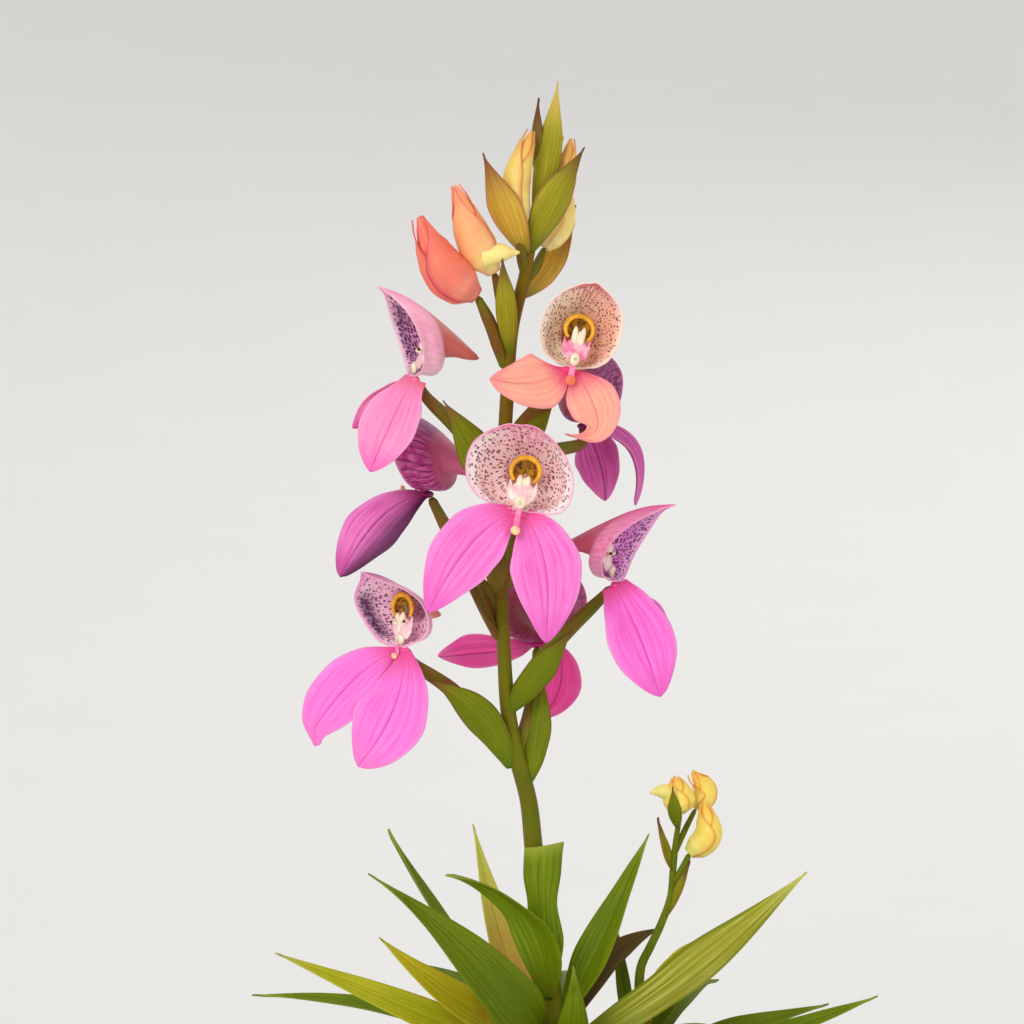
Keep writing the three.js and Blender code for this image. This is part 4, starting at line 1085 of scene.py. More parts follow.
def add_column(bloom, spot):
    """The column: a pale shield with its anther lobes and wings under the golden arch of the
    small petals, the round stigma at its foot, and the narrow lip."""
    white, blush, gold, mottle, cream, gland, green, strap = range(8)
    local = Patches()
    shield = [(0, -4.5, 1.0), (0, -4.1, 2.2), (0, -3.3, 3.6), (0, -2.5, 5.2), (0, -2.2, 6.8)]
    add_loft(local, shield, [1.0, 1.3, 1.8, 2.3, 2.6, 2.4, 1.5],
             [0.6, 0.8, 0.85, 0.85, 0.8, 0.7, 0.4], blush, fold=0.14)
    tall = bloom.get("prongs", 2.4)
    for side in (-1, 1):
        add_rod(local, [(0.8 * side, -2.4, 5.4), (0.95 * side, -2.7, 6.2 + 0.4 * tall),
                        (1.05 * side, -2.5, 6.0 + tall)], [0.6, 0.8, 0.75, 0.35], 14, 14, white)
        wing = [(0.9 * side, -4.0, 1.8), (2.7 * side, -3.8, 3.0), (3.3 * side, -1.7, 7.0)]
        surface = blade_surface(wing, (0, -1, 0.2), 1.9, 0.5, 0.45, 0.9, 0.9, -0.2, ripple=0.1,
                                phase=side)
        local.thin(*sheet_faces(surface, 22, 8, FINE_THICK), blush)
        if bloom.get("glands"):
            arm = [(1.5 * side, -2.9, 5.4), (2.1 * side, -3.7, 6.0), (2.4 * side, -4.1, 6.3)]
            add_rod(local, arm, [0.45, 0.4, 0.35], 10, 8, white)
            add_ball(local, (2.4 * side, -4.3, 6.35), (0.38, 0.38, 0.42), gland, 8)
    add_rod(local, [(0.12, -2.6, 5.8), (0.1, -2.8, 6.6), (0.12, -2.8, 6.2 + 0.7 * tall)],
            [0.4, 0.4, 0.2], 10, 8, white)
    add_ball(local, (0, -4.9, 1.8), bloom.get("stigma", (1.5, 0.8, 1.5)), white)
    add_ball(local, (0, -5.6, 1.85), (0.5, 0.2, 0.55), green, 8)
    turn = np.pi * np.linspace(-0.27, 1.27, 65)
    front = RING_FRONT - 0.7 * (1 - np.sin(turn))
    ring = np.column_stack([-RING_WIDE * np.cos(turn), front,
                            RING_HEIGHT + RING_TALL * np.sin(turn)])
    add_rod(local, ring[::4], [0.45, 0.6, 0.66, 0.6, 0.45], 14, 64, gold)
    cup = np.linspace(0, 1, 16)[:, None]
    middle = np.array([0, RING_FRONT + 3.0, RING_HEIGHT - 0.6])
    vault = ring[None, :, :] * (1 - cup**1.4)[..., None] + middle * (cup**1.4)[..., None]
    vault[..., 1] = front + (middle[1] - front) * cup**0.6
    local.grid(vault, mottle)
    back = bloom.get("set_back", 0)
    lip_back = min(back, LIP_SET_BACK)
    local.points = [part + (0, back - lip_back, 0) for part in local.points]
    drop = bloom["lip"]
    tongue = [(0, -4.3, 0.6), (0, -4.7, -1.6), (0, drop[0] - 4, drop[1])]
    surface = blade_surface(tongue, (0, -1, 0.2), 1.5, 0.8, 0.7, 1, 0.6, 0.15)
    local.thin(*sheet_faces(surface, 18, 8, LIP_THICK), strap)
    knob = bloom.get("lip_end", 1.2)
    add_ball(local, np.array(tongue[2]) + (0, -0.2, 0.6), (knob, 0.55 * knob, 0.95 * knob), cream)
    points = np.vstack(local.points) + (0, lip_back, 0)
    patches = Patches()
    patches.add(moved(points * bloom["size"], spot), local.faces, local.corners, 0)
    patches.finishes = local.finishes
    return patches


def add_sepals(bloom, spot, number):
    """The pair of broad sepals on the short plate where they join."""
    patches = Patches()
    for side, name in ((-1, "left"), (1, "right")):
        sepal = bloom[name]
        root = Vector((SEPAL_ROOT[0] * side, *SEPAL_ROOT[1:]))
        start = tuple(spot @ root)
        shape = {"foot": 0.14, "peak": 0.52, "rise": 1.15, "point": 0.72, "channel": 0.12}
        shape.update(sepal)
        path = [start, *shape.pop("path")]
        surface = blade_surface(path, pleat=0.22, ripple=0.4, waves=1.6, crease=0.5, roll=0.06,
                                lump=0.45, phase=1.7 * number + side, **shape)
        patches.thin(*sheet_faces(surface, 54, 36, SEPAL_THICK))
    plate = Patches()
    add_ball(plate, (0, -0.9, -1.2), (2.4, 1.25, 0.95))
    points = moved(np.vstack(plate.points), spot)
    patches.add(points, plate.faces, np.full((len(plate.corners), 2), (0.02, 0.3)), 0)
    return patches


# Stems, buds and leaves

MAIN_STEM = [
    (-4.4, 0, 79), (-4.5, 0, 92), (-4.7, 0, 107), (-6.7, 0, 126), (-9, 0, 145), (-10.4, 0, 157.6),
    (-13.4, 0, 169), (-15.5, 0, 180.3), (-16.4, 0, 192.9), (-17.3, 0, 218), (-16.8, 0, 238),
    (-15.8, 0, 258), (-14.5, 0, 275.4), (-11.3, 0, 289.1), (-9.2, 0, 300.3), (-7.3, 0, 310.2),
    (-5.8, 0, 320.1), (-5, 0, 329),
]
MAIN_RADII = [4, 3.4, 2.6, 2.4, 2.3, 2.1, 1.9, 1.7, 1.6, 1.65, 1.7, 1.7, 1.6, 1.4, 1.1, 0.6]
# Stalks of the buds: middle line and radii along it
BUD_STALKS = [
    ([(-16.2, 0, 266), (-19.5, -2.5, 276), (-23, -5.7, 283.6)], [1.2, 1.6, 1.5, 0.9]),
    ([(-14.7, 0, 272), (-17, -3, 282), (-18.9, -4.9, 289.5)], [1.1, 1.4, 1.3, 0.8]),
    ([(-11.4, 0, 289), (-12.2, -2.8, 295), (-12.4, -4.7, 301.9)], [1, 1.3, 1.2, 0.7]),
    ([(-9.4, 0, 299), (-7, 1.6, 300.6), (-4.8, 2.4, 303.2)], [1, 1.1, 0.9, 0.7]),
    ([(-11, 0, 288), (-8.4, 4.5, 291.4), (-6.4, 7.8, 295.8)], [1.1, 1.3, 1.1, 0.7]),
]
# Bracts: middle line, the way the upper side looks, width and finish
BRACTS = [
    ([(-8.6, -1, 304), (-5.4, -2.6, 318), (-3.1, -0.6, 337)], (0.2, 1, 0), 6.4, "top"),
    ([(-8, 0, 312), (-9.2, -0.5, 322), (-7.8, -0.6, 333)], (0.6, 0.8, 0), 3.6, "brown"),
    ([(-11.6, -1, 294.4), (-16.6, -12, 302), (-21.6, -8, 319)], (0.5, 0.9, 0.2), 9.6, "gold"),
    ([(-10, -1.6, 295), (-4.6, -7, 306), (3.4, -4, 320.6)], (-0.3, 0.9, 0.4), 9, "olive"),
    ([(-12.2, 0.3, 283.4), (-3.4, 13, 287), (1.6, 15.4, 307)], (-0.4, -0.9, 0.4), 7, "gold"),
    ([(-15, -1, 269), (-16, -8, 280), (-16.9, -9, 293.6)], (0.1, 0.9, 0.3), 5.4, "olive"),
    ([(-16.6, -0.6, 231), (-21, -5, 243), (-31.6, -5.5, 258)], (-0.3, 1, 0.4), 9.6, "green"),
    ([(-16, -0.5, 244), (-10.5, -4.5, 250), (-4, -7.5, 257.6)], (0.3, 1, 0.5), 6.6, "green"),
    ([(-17.4, 0, 200), (-23, 0, 208), (-27, 3, 219)], (0.8, -0.7, 0.6), 8, "brown"),
    ([(-17.4, -0.6, 209), (-17.4, -7, 213), (-15, -13.5, 225)], (0, 0.4, 1), 8, "brown"),
    ([(-15.4, -0.8, 180), (-8.6, -7, 189), (0.6, -6.4, 201)], (0.2, 1, 0.3), 7, "green"),
    ([(-14.6, -1, 166), (-20, -8, 181), (-35, -7.4, 188.6)], (-0.2, 1, 0.3), 8.4, "green"),
    ([(-12.2, 0.2, 160), (-7.4, 0.4, 173), (-7, 6, 190)], (0.2, 1, 0), 7, "green"),
    ([(-16.6, 0.6, 233), (-10, 5, 236), (-3.6, 8, 245)], (-0.6, 0.3, 0.9), 7, "brown"),
]
SIDE_STEM = [
    (18.3, 14, 79), (18.3, 14, 98), (18.4, 14, 112.6), (20.8, 14, 118), (23.6, 14, 124),
    (26, 14, 131), (26.6, 14, 138), (27.4, 14, 146), (28.4, 13.2, 152.6),
]
SIDE_RADII = [1.8, 1.5, 1.3, 1.1, 0.95, 0.85, 0.6]
SIDE_STALKS = [
    ([(26.6, 14, 134), (28.8, 12.8, 138), (30.6, 11.7, 142.2)], [0.9, 1, 0.7]),
    ([(27, 14, 142), (29.6, 16, 147.6), (32.4, 16.9, 153)], [0.7, 0.8, 0.6]),
]
SIDE_BRACTS = [
    ([(26.4, 13.6, 138), (23.6, 12.4, 143), (22.7, 12.6, 151.5)], (1, -0.5, 0), 4, "olive"),
    ([(24.6, 13.6, 126), (28.4, 12.4, 131), (30.6, 9.6, 141)], (-1, -0.6, 0.3), 3.4, "olive"),
    ([(27.7, 12.4, 149), (26.4, 7, 152.6), (26.2, 7.6, 160)], (0.1, 1, 0.2), 3.4, "green"),
]
# Buds: name, finish, radius, middle line, radii along it as shares, how far the petal tips
# stand apart, and the line and radii of the spur
FULL_BUD = (0.36, 1.0, 1.16, 1.04, 0.8, 0.48, 0.12)
SLIM_BUD = (0.4, 0.88, 1, 0.98, 0.8, 0.5, 0.12)
BUDS = [
    ("bud_coral", "coral", 4.6, [(-23.4, -6, 283.9), (-30.8, -8, 289.5), (-37.6, -10, 303.2)],
     FULL_BUD, 1.1, None),
    ("bud_peach", "peach", 3.7, [(-19, -5, 289.8), (-23.5, -7, 297.6), (-28.5, -9, 311.1)],
     FULL_BUD, 0.8,
     ([(-22.6, -8, 293.6), (-17.8, -7.4, 294.4), (-12.6, -5.8, 294.6)], (3.5, 2.5, 0.4))),
    ("bud_yellow_left", "yellow", 3.0,
     [(-12.4, -4.8, 302.1), (-13.4, -5.2, 311.3), (-9.6, -4, 324.7)], SLIM_BUD, 0.5, None),
    ("bud_yellow_right", "yellow", 2.8,
     [(-4.6, 2.6, 303.4), (-1.6, 3.4, 313.5), (0.2, 3, 323.2)], SLIM_BUD, 1.3, None),
    ("bud_yellow_back", "pale", 2.7, [(-6.2, 8, 296), (-1.9, 9, 302.3), (-0.2, 10, 310.6)],
     SLIM_BUD, 0.6, None),
    ("side_bud_left", "lemon", 3.2, [(28.5, 13, 152.8), (28, 12.4, 157.4), (27, 12, 162)],
     FULL_BUD, 0.5, ([(27.2, 12.4, 157.2), (24, 12, 158.2), (20.4, 12, 158)], (2.8, 1.9, 0.4))),
    ("side_bud_right", "lemon", 2.5, [(32.6, 17, 153), (35, 17.4, 157.4), (31.4, 16, 162.6)],
     SLIM_BUD, 0.5, None),
    ("side_bud_low", "lemon", 3.1, [(30.8, 11.5, 142.4), (35.4, 11, 147), (34.4, 11, 155.4)],
     SLIM_BUD, 0.5, None),
]
BUD_SLOTS = {"pale": "bud_yellow", "lemon": "bud_yellow"}
BUD_PETALS = 3
PETAL_LIFT = 0.2

# Leaves: name, finish, width, bearing and height of the foot on its stem, then the points that
# follow the foot, the way the upper side looks, and what differs from a plain leaf
LEAVES = [
    ("leaf_left_long", "gold", 8.6, 200, 91,
     [(-34, -10, 104), (-72.5, -22, 122.8)], (0.2, -0.9, 0.6), {}),
    ("leaf_left_low", "green", 6, 172, 89,
     [(-36, 6, 107), (-80.8, 12, 106)], (0, -0.7, 0.9), {}),
    ("leaf_left_gold", "ochre", 9.6, 218, 98,
     [(-24, -13, 103), (-47, -22, 126.6)], (0.3, -1, 0.5), {}),
    ("leaf_left_back", "green", 8.4, 160, 95,
     [(-30, 8, 118), (-45.9, 10, 148.9)], None, {}),
    ("leaf_left_broad", "dark", 16, 246, 94,
     [(-10, -26, 103), (-24, -22, 126), (-50, -16, 141.5)], (0.5, -1, 0.6),
     {"peak": 0.34, "point": 1.5}),
    ("leaf_upright_gold", "amber", 8.4, 140, 99,
     [(-16, 13, 110), (-24.4, 14, 149.6)], (0.3, -1, 0.2), {}),
    ("leaf_stem_left", "green", 10.5, 250, 107,
     [(-5, -12, 124), (-12, -10, 137), (-31, -9, 140)], (0.1, -0.6, -1), {}),
    ("leaf_stem_sheath", "green", 9.4, 285, 112,
     [(-7, -8, 122), (-7.6, -6, 138), (-6.4, -6.5, 147)], (0, 1, 0.2),
     {"foot": 0.5, "peak": 0.35, "cut": True, "waist": 0.2, "slant": -1.4}),
    ("leaf_right_up", "green", 9.6, 8, 103,
     [(6, 2, 117), (20, 4, 148.5)], (-0.5, -0.9, 0.4), {"foot": 0.2}),
    ("leaf_right_big", "lime", 14, 340, 95,
     [(22, -10, 104), (58.7, -10, 141)], (-0.3, -0.7, 1), {"foot": 0.2, "peak": 0.55}),
    ("leaf_rust", "rust", 7.5, 50, 97,
     [(8, 14, 118), (24, 25, 121)], (-0.2, -0.9, 0.7), {}),
    ("leaf_front_up", "green", 8.4, 292, 90,
     [(2, -18, 98), (0.6, -16, 118.5)], (0, 1, 0.3), {}),
    ("leaf_back_left", "dark", 9, 130, 89, [(-20, 18, 108), (-40, 35, 110)], None, {}),
    ("leaf_back", "dark", 9, 85, 90, [(-4, 20, 110), (0, 46, 106)], None, {}),
    ("leaf_front", "green", 9, 272, 86.6, [(-8, -24, 92), (-14, -50, 93)], None, {}),
    ("side_leaf_thin", "dark", 4, 130, 89,
     [(14, 22, 106), (12, 24, 124)], (0.3, -1, 0), {"side": True}),
    ("side_leaf_gold", "ochre", 6, 335, 98,
     [(22, 9, 114), (35, 7, 122)], (-0.5, -0.6, 0.8), {"side": True}),
    ("side_leaf_short", "green", 6, 20, 94,
     [(26, 16, 108), (40, 18, 114.4)], (0, -0.7, 0.9), {"side": True}),
    ("side_leaf_curled", "green", 8, 275, 87.4,
     [(21, -4, 94), (30, -24, 112), (43, -24, 99)], None, {"side": True}),
    ("side_leaf_right", "dark", 7, 326, 90,
     [(38, -2, 99), (65, -3, 106.6)], (0, -0.7, 0.9), {"side": True}),
    ("side_leaf_far", "green", 7, 350, 86.5,
     [(48, 12, 93), (79, 14, 105.4)], (0, -0.7, 0.9), {"side": True}),
    ("side_leaf_back", "dark", 8, 72, 88,
     [(28, 28, 106), (40, 44, 104)], None, {"side": True}),
]
# Slots of the leaves that aren't green, by finish
LEAF_SLOTS = {"gold": "leaf_yellow", "ochre": "leaf_yellow", "amber": "leaf_yellow",
              "lime": "leaf_yellow", "rust": "leaf_rust"}
LEAF_SEAT = 0.85
STEM_STEPS = 200


def stem_at(points, radii, height):
    """The middle of a stem and its radius at a height."""
    line = smooth_path(points, STEM_STEPS + 1)
    k = int(np.argmax(line[:, 2] >= height))
    place = k / STEM_STEPS * (len(radii) - 1)
    return line[k], float(np.interp(place, range(len(radii)), radii))


def leaf_piece(entry, finishes):
    """A lance-shaped leaf that clasps its stem, then arches out."""
    name, finish, width, bearing, height, path, face, extra = entry
    stem, radii = (SIDE_STEM, SIDE_RADII) if extra.get("side") else (MAIN_STEM, MAIN_RADII)
    middle, radius = stem_at(stem, radii, height)
    turn = math.radians(bearing)
    outward = np.array([math.cos(turn), math.sin(turn), 0])
    root = middle + outward * (radius + LEAF_SEAT)
    if face is None:
        face = outward * -0.6 + (0, 0, 1)
    shape = {"foot": 0.3, "peak": 0.4, "rise": 0.9, "point": 1.1, "channel": 0.3}
    shape.update({key: value for key, value in extra.items() if key != "side"})
    phase = 0.37 * bearing
    surface = blade_surface([root, *path], face, width, ripple=0.012 * width + 0.1, waves=2.2,
                            crease=0.4, phase=phase, **shape)
    patches = Patches()
    patches.thin(*sheet_faces(surface, 64, 20, LEAF_THICK))
    slot = LEAF_SLOTS.get(finish, "leaf_green")
    return patches.build(f"{name}_blade", [finishes[finish]], [name], slot)


def bract_piece(name, entry, finishes, node_name):
    """A pointed bract that cups an ovary or a bud."""
    path, face, width, finish = entry
    surface = blade_surface(path, face, width, 0.3, 0.5, 0.9, 1.45, 0.36, ripple=0.18, waves=1.4,
                            crease=0.15, phase=width)
    patches = Patches()
    patches.thin(*sheet_faces(surface, 40, 16, BRACT_THICK))
    return patches.build(name, [finishes[f"bract {finish}"]], [node_name], "stem_green")


def wrapped_petal(line, sizes, turn, lift, open_tip):
    """The surface of one petal wrapped round the body of a bud."""
    first, second = carried_frames(line)
    steps = np.linspace(0, 1, len(line))

    def surface(u, v):
        rows = [np.column_stack([np.interp(u, steps, part[:, k]) for k in range(3)])
                for part in (line, first, second)]
        narrowed = 1.35 * (1 - 0.95 * smooth_step(u, 0.45, 1.0))
        angle = turn + narrowed[:, None] * v[None, :]
        stand = np.interp(u, steps, sizes) + lift + open_tip * smooth_step(u, 0.72, 1.0)
        stand = stand[:, None] + 0.22 * np.abs(v[None, :]) ** 3
        cos, sin = np.cos(angle)[..., None], np.sin(angle)[..., None]
        out = rows[1][:, None, :] * cos + rows[2][:, None, :] * sin
        return rows[0][:, None, :] + out * stand[..., None]

    return surface


def bud_piece(entry, finishes):
    """A closed bud: a full body wrapped in petals, with a blunt spur where it has one."""
    name, finish, size, path, shares, open_tip, spur = entry
    patches = Patches()
    rings = 44
    line = smooth_path(path, rings)
    sizes = spread([part * size for part in shares], rings)
    add_rod(patches, path, [part * size for part in shares], 36, rings)
    for k in range(BUD_PETALS):
        turn = 2 * np.pi * k / BUD_PETALS + 0.9 * size
        lift = PETAL_LIFT * (1 + 0.6 * k)
        surface = wrapped_petal(line, sizes, turn, lift, open_tip * (0.4 + 0.3 * k))
        patches.thin(*sheet_faces(surface, 40, 18, FINE_THICK))
    if spur:
        add_rod(patches, spur[0], spur[1], 24, 20, 1)
    slot = BUD_SLOTS.get(finish, f"bud_{finish}")
    spur_finish = finishes["spur green" if finish == "lemon" else "spur"]
    return patches.build(f"{name}_petals", [finishes[finish], spur_finish], [name], slot)


def build_blooms(finishes):
    """All eight blooms, each in its own tone."""
    for number, bloom in enumerate(BLOOMS, start=1):
        spot = bloom_frame(bloom)
        name = f"bloom_{number}"
        tone = bloom["tone"]
        hood = Patches()
        add_hood(hood, bloom, spot)
        sides = [finishes[f"hood {number} {side}"] for side in ("outside", "inside")]
        hood.build(f"{name}_funnel", sides, [f"{name}_hood"], f"hood_{tone}")
        add_sepals(bloom, spot, number).build(f"{name}_sepal_pair", [finishes[f"sepals {number}"]],
                                              [f"{name}_sepals"], f"sepal_{tone}")
        lip_end = "lip tip warm" if tone == "salmon" else "lip tip"
        shield = "column rose" if tone == "salmon" else "column blush"
        parts = ["column white", shield, "petal gold", "petal brown", lip_end, "gland", "stigma",
                 "lip strap"]
        add_column(bloom, spot).build(f"{name}_column_and_lip", [finishes[part] for part in parts],
                                      [f"{name}_column"], "column_cream")


def build_stems(finishes):
    """The main spike with its ovaries, stalks and bracts, and the young side stem."""
    shaft = Patches()
    add_rod(shaft, MAIN_STEM, MAIN_RADII, 32, 180, 0, ribs=8, rib_depth=0.018)
    shaft.build("main_stem_shaft", [finishes["stem"]], ["main_stem"], "stem_green")
    for number, bloom in enumerate(BLOOMS, start=1):
        spot = bloom_frame(bloom)
        ends = [tuple(spot @ Vector(end)) for end in (OVARY_NECK, OVARY_TOP)]
        path = [*bloom["ovary"], *ends]
        ovary = Patches()
        add_rod(ovary, path, [1.3, 1.8, 1.9, 1.6, 1.1], 36, 40, 0, ribs=6, rib_depth=0.07)
        ovary.build(f"bloom_{number}_ovary", [finishes["ovary"]], ["main_stem"], "stem_green")
    for number, (path, radii) in enumerate(BUD_STALKS, start=1):
        stalk = Patches()
        add_rod(stalk, path, radii, 30, 26, 0, ribs=6, rib_depth=0.06)
        stalk.build(f"bud_stalk_{number}", [finishes["ovary"]], ["main_stem"], "stem_green")
    for number, entry in enumerate(BRACTS, start=1):
        bract_piece(f"bract_{number}", entry, finishes, "main_stem")
    side = Patches()
    add_rod(side, SIDE_STEM, SIDE_RADII, 24, 70, 0, ribs=6, rib_depth=0.02)
    for path, radii in SIDE_STALKS:
        add_rod(side, path, radii, 18, 14, 0)
    side.build("side_stem_shaft", [finishes["side stem"]], ["side_stem"], "stem_green")
    for number, entry in enumerate(SIDE_BRACTS, start=1):
        bract_piece(f"side_bract_{number}", entry, finishes, "side_stem")


# Pot and growing medium

POT_PROFILE = [
    (0, 0), (34.9, 0), (35.6, 0.2), (36, 0.9), (36.6, 5.2), (36.95, 5.6), (37.3, 5.9), (46.0, 71.6),
    (46.35, 72), (46.9, 78.2), (47.2, 79.4), (48.4, 79.9), (49.6, 80.4), (50, 81.4), (50, 83.2),
    (49.75, 83.5), (49.75, 84.1), (50, 84.4), (50, 88.9), (49.7, 89.6), (49, 90), (47.6, 90),
    (46.9, 89.6), (46.6, 88.8), (34.7, 2.4), (34.2, 2), (0, 2),
]
POT_SIDES = 144
NOTCH_COUNT = 6
NOTCH_SIZE = (9, 10, 10)
NOTCH_RADIUS = 36
WELD_REACH = 0.01
SHARP_ANGLE = 35
MEDIUM_EDGE = 79
MEDIUM_CROWN = 85
MEDIUM_FOOT = 60
MEDIUM_TAPER = 0.96
MEDIUM_RADIUS = 44.6
MEDIUM_RINGS = 60
MEDIUM_SIDES = 150
CHIP_SEED = 7
CHIP_COUNT = 620
CHIP_RADIUS = 44
CHIP_WALL = 46
CHIP_STEPS = 4
CHIP_SIDES = 7
# Places on the medium that stay clear for the stems: (x, y, radius)
STEM_HOLES = [(-4.4, 0, 5), (18.3, 14, 3.2)]


def lathe(profile, sides):
    """A turned piece from its profile of (radius, height)."""
    radii, heights = zip(*profile)
    patches = Patches()
    patches.grid(revolved(radii, heights, sides), 0, closed=True, flip=True)
    return patches


def build_pot(finish):
    """The pot with its rolled rim, foot ring and drain notches."""
    piece = lathe(POT_PROFILE, POT_SIDES).build("pot_shell", [finish], ["pot"], "pot_plastic")
    weld = piece.modifiers.new("weld", "WELD")
    weld.merge_threshold = WELD_REACH * MM
    cutters = []
    for k in range(NOTCH_COUNT):
        turn = 2 * math.pi * (k + 0.5) / NOTCH_COUNT
        bpy.ops.mesh.primitive_cube_add(size=MM)
        cutter = bpy.context.object
        cutter.scale = NOTCH_SIZE
        cutter.rotation_euler = (0, 0, turn)
        reach = NOTCH_RADIUS * MM
        cutter.location = (reach * math.cos(turn), reach * math.sin(turn), 0)
        cut = piece.modifiers.new("notch", "BOOLEAN")
        cut.operation = "DIFFERENCE"
        cut.solver = "EXACT"
        cut.object = cutter
        cutters.append(cutter)
    bpy.context.view_layer.update()
    seen = piece.evaluated_get(bpy.context.evaluated_depsgraph_get())
    finished = bpy.data.meshes.new_from_object(seen)
    piece.modifiers.clear()
    piece.data = finished
    for cutter in cutters:
        bpy.data.objects.remove(cutter, do_unlink=True)
    finished.polygons.foreach_set("use_smooth", [True] * len(finished.polygons))
    finished.set_sharp_from_angle(angle=math.radians(SHARP_ANGLE))


def medium_height(x, y):
    """Height of the growing medium: a low dome with crumbs."""
    r = math.hypot(x, y)
    levels = [MEDIUM_CROWN - 0.8, MEDIUM_CROWN - 1.6, MEDIUM_EDGE + 2, MEDIUM_EDGE - 0.6]
    dome = np.interp(r, [0, 22, 36, 45], levels)
    place = Vector((x, y, 3.0))
    return float(dome) + 1.1 * noise.noise(place * 0.22) + 0.45 * noise.noise(place * 0.8)


def build_medium(surface_finish, chip_finishes):
    """The growing medium, and the bark, grit and perlite that lie on it."""
    turn = 2 * np.pi * np.arange(MEDIUM_SIDES) / MEDIUM_SIDES
    points = np.zeros((MEDIUM_RINGS + 2, MEDIUM_SIDES, 3))
    for i in range(MEDIUM_RINGS + 1):
        r = MEDIUM_RADIUS * i / MEDIUM_RINGS
        for j, a in enumerate(turn):
            x, y = r * math.cos(a), r * math.sin(a)
            points[i, j] = (x, y, medium_height(x, y))
    points[-1] = points[-2] * (MEDIUM_TAPER, MEDIUM_TAPER, 0) + (0, 0, MEDIUM_FOOT)
    patches = Patches()
    patches.grid(points, 0, closed=True)
    patches.build("medium_surface", [surface_finish], ["growing_medium"], "growing_medium")
    draw = random.Random(CHIP_SEED)
    chips = Patches()
    ball = ball_points(CHIP_STEPS, CHIP_SIDES)
    for _ in range(CHIP_COUNT):
        r = CHIP_RADIUS * math.sqrt(draw.random())
        a = 2 * math.pi * draw.random()
        x, y = r * math.cos(a), r * math.sin(a)
        if any(math.hypot(x - hole[0], y - hole[1]) < hole[2] for hole in STEM_HOLES):
            continue
        kind = draw.choices((0, 1, 2), (0.72, 0.16, 0.12))[0]
        size = draw.uniform(0.8, 2.6) if kind == 0 else draw.uniform(0.5, 1.2)
        flat = draw.uniform(0.25, 0.5) if kind == 0 else draw.uniform(0.7, 1)
        reach = CHIP_WALL - math.hypot(x, y) - size
        size = min(size, max(0.5, reach))
        stretch = Vector((size * draw.uniform(0.9, 1.6), size, size * flat))
        spin = Euler((draw.uniform(-0.5, 0.5), draw.uniform(-0.5, 0.5), draw.uniform(0, 6.3)))
        middle = Vector((x, y, medium_height(x, y) + 0.15 * size))
        rough = np.array([[0.8 + 0.4 * draw.random() for _ in range(CHIP_SIDES)]
                          for _ in range(CHIP_STEPS + 1)])
        rough[0] = rough[0][0]
        rough[-1] = rough[-1][0]
        chip = ball * rough[..., None] * np.array(stretch)
        place = Matrix.Translation(middle) @ spin.to_matrix().to_4x4()
        chips.grid(moved(chip, place), kind, closed=True, flip=True)
    chips.build("bark_and_grit", chip_finishes, slot="growing_medium", smooth=False)


# Studio


def build_camera():
    """The camera stands in front of the plant, just above the middle of the spike."""
    data = bpy.data.cameras.new("plant camera")
    data.lens = VIEW_LENS
    data.sensor_width = VIEW_SENSOR
    data.clip_start, data.clip_end = VIEW_RANGE
    camera = new_object("plant_camera", data)
    lift = math.radians(VIEW_ELEVATION)
    back = Vector((0, -math.cos(lift), math.sin(lift)))
    camera.location = (Vector(VIEW_AIM) + back * VIEW_DISTANCE) * MM
    camera.rotation_mode = "QUATERNION"
    camera.rotation_quaternion = (-back).to_track_quat("-Z", "Y")
    bpy.context.scene.camera = camera


def build_light(name, place, aim, size, power, colour):
    """A soft square light at a place in metres."""
    data = bpy.data.lights.new(name, "AREA")
    data.shape = "SQUARE"
    data.size = size
    data.energy = power
    data.color = colour
    lamp = new_object(name, data)
    lamp.location = place
    lamp.rotation_mode = "QUATERNION"
    lamp.rotation_quaternion = (Vector(aim) - Vector(place)).to_track_quat("-Z", "Y")


def build_studio():
    """A pale round floor that rises gently far out on every side, lit softly from the front."""
    reach = np.concatenate([[0, FLOOR_FLAT / 2], np.linspace(FLOOR_FLAT, FLOOR_REACH, 30)])
    rise = FLOOR_RISE * smooth_step(reach, FLOOR_FLAT, FLOOR_REACH)
    floor = Patches()
    floor.grid(revolved(reach, rise, FLOOR_SIDES), 0, closed=True)
    material, tree, shader = new_finish("studio floor", Roughness=0.8)
    shades = speckle(tree, plant_place(tree), 0.02, 3.0)
    colour = blend_colours(tree, shades, tint("f1efec"), tint("f3f2f0"))
    tree.links.new(colour, shader.inputs["Base Color"])
    mesh = bpy.data.meshes.new("studio_floor")
    mesh.from_pydata(np.vstack(floor.points).tolist(), [], floor.faces)
    mesh.materials.append(material)
    mesh.polygons.foreach_set("use_smooth", [True] * len(mesh.polygons))
    new_object("studio_floor", mesh)
    world = bpy.data.worlds.new("studio world")
    bpy.context.scene.world = world
    world.use_nodes = True
    sky = world.node_tree.nodes["Background"]
    sky.inputs["Color"].default_value = (1.0, 1.0, 1.0, 1.0)
    sky.inputs["Strength"].default_value = SKY_STRENGTH
    for name, place, size, power, colour in LIGHTS:
        build_light(name, place, LIGHT_AIM, size, power, colour)
    scene = bpy.context.scene
    scene.view_settings.view_transform = "Standard"
    scene.view_settings.look = "None"
    scene.view_settings.exposure = 0.0


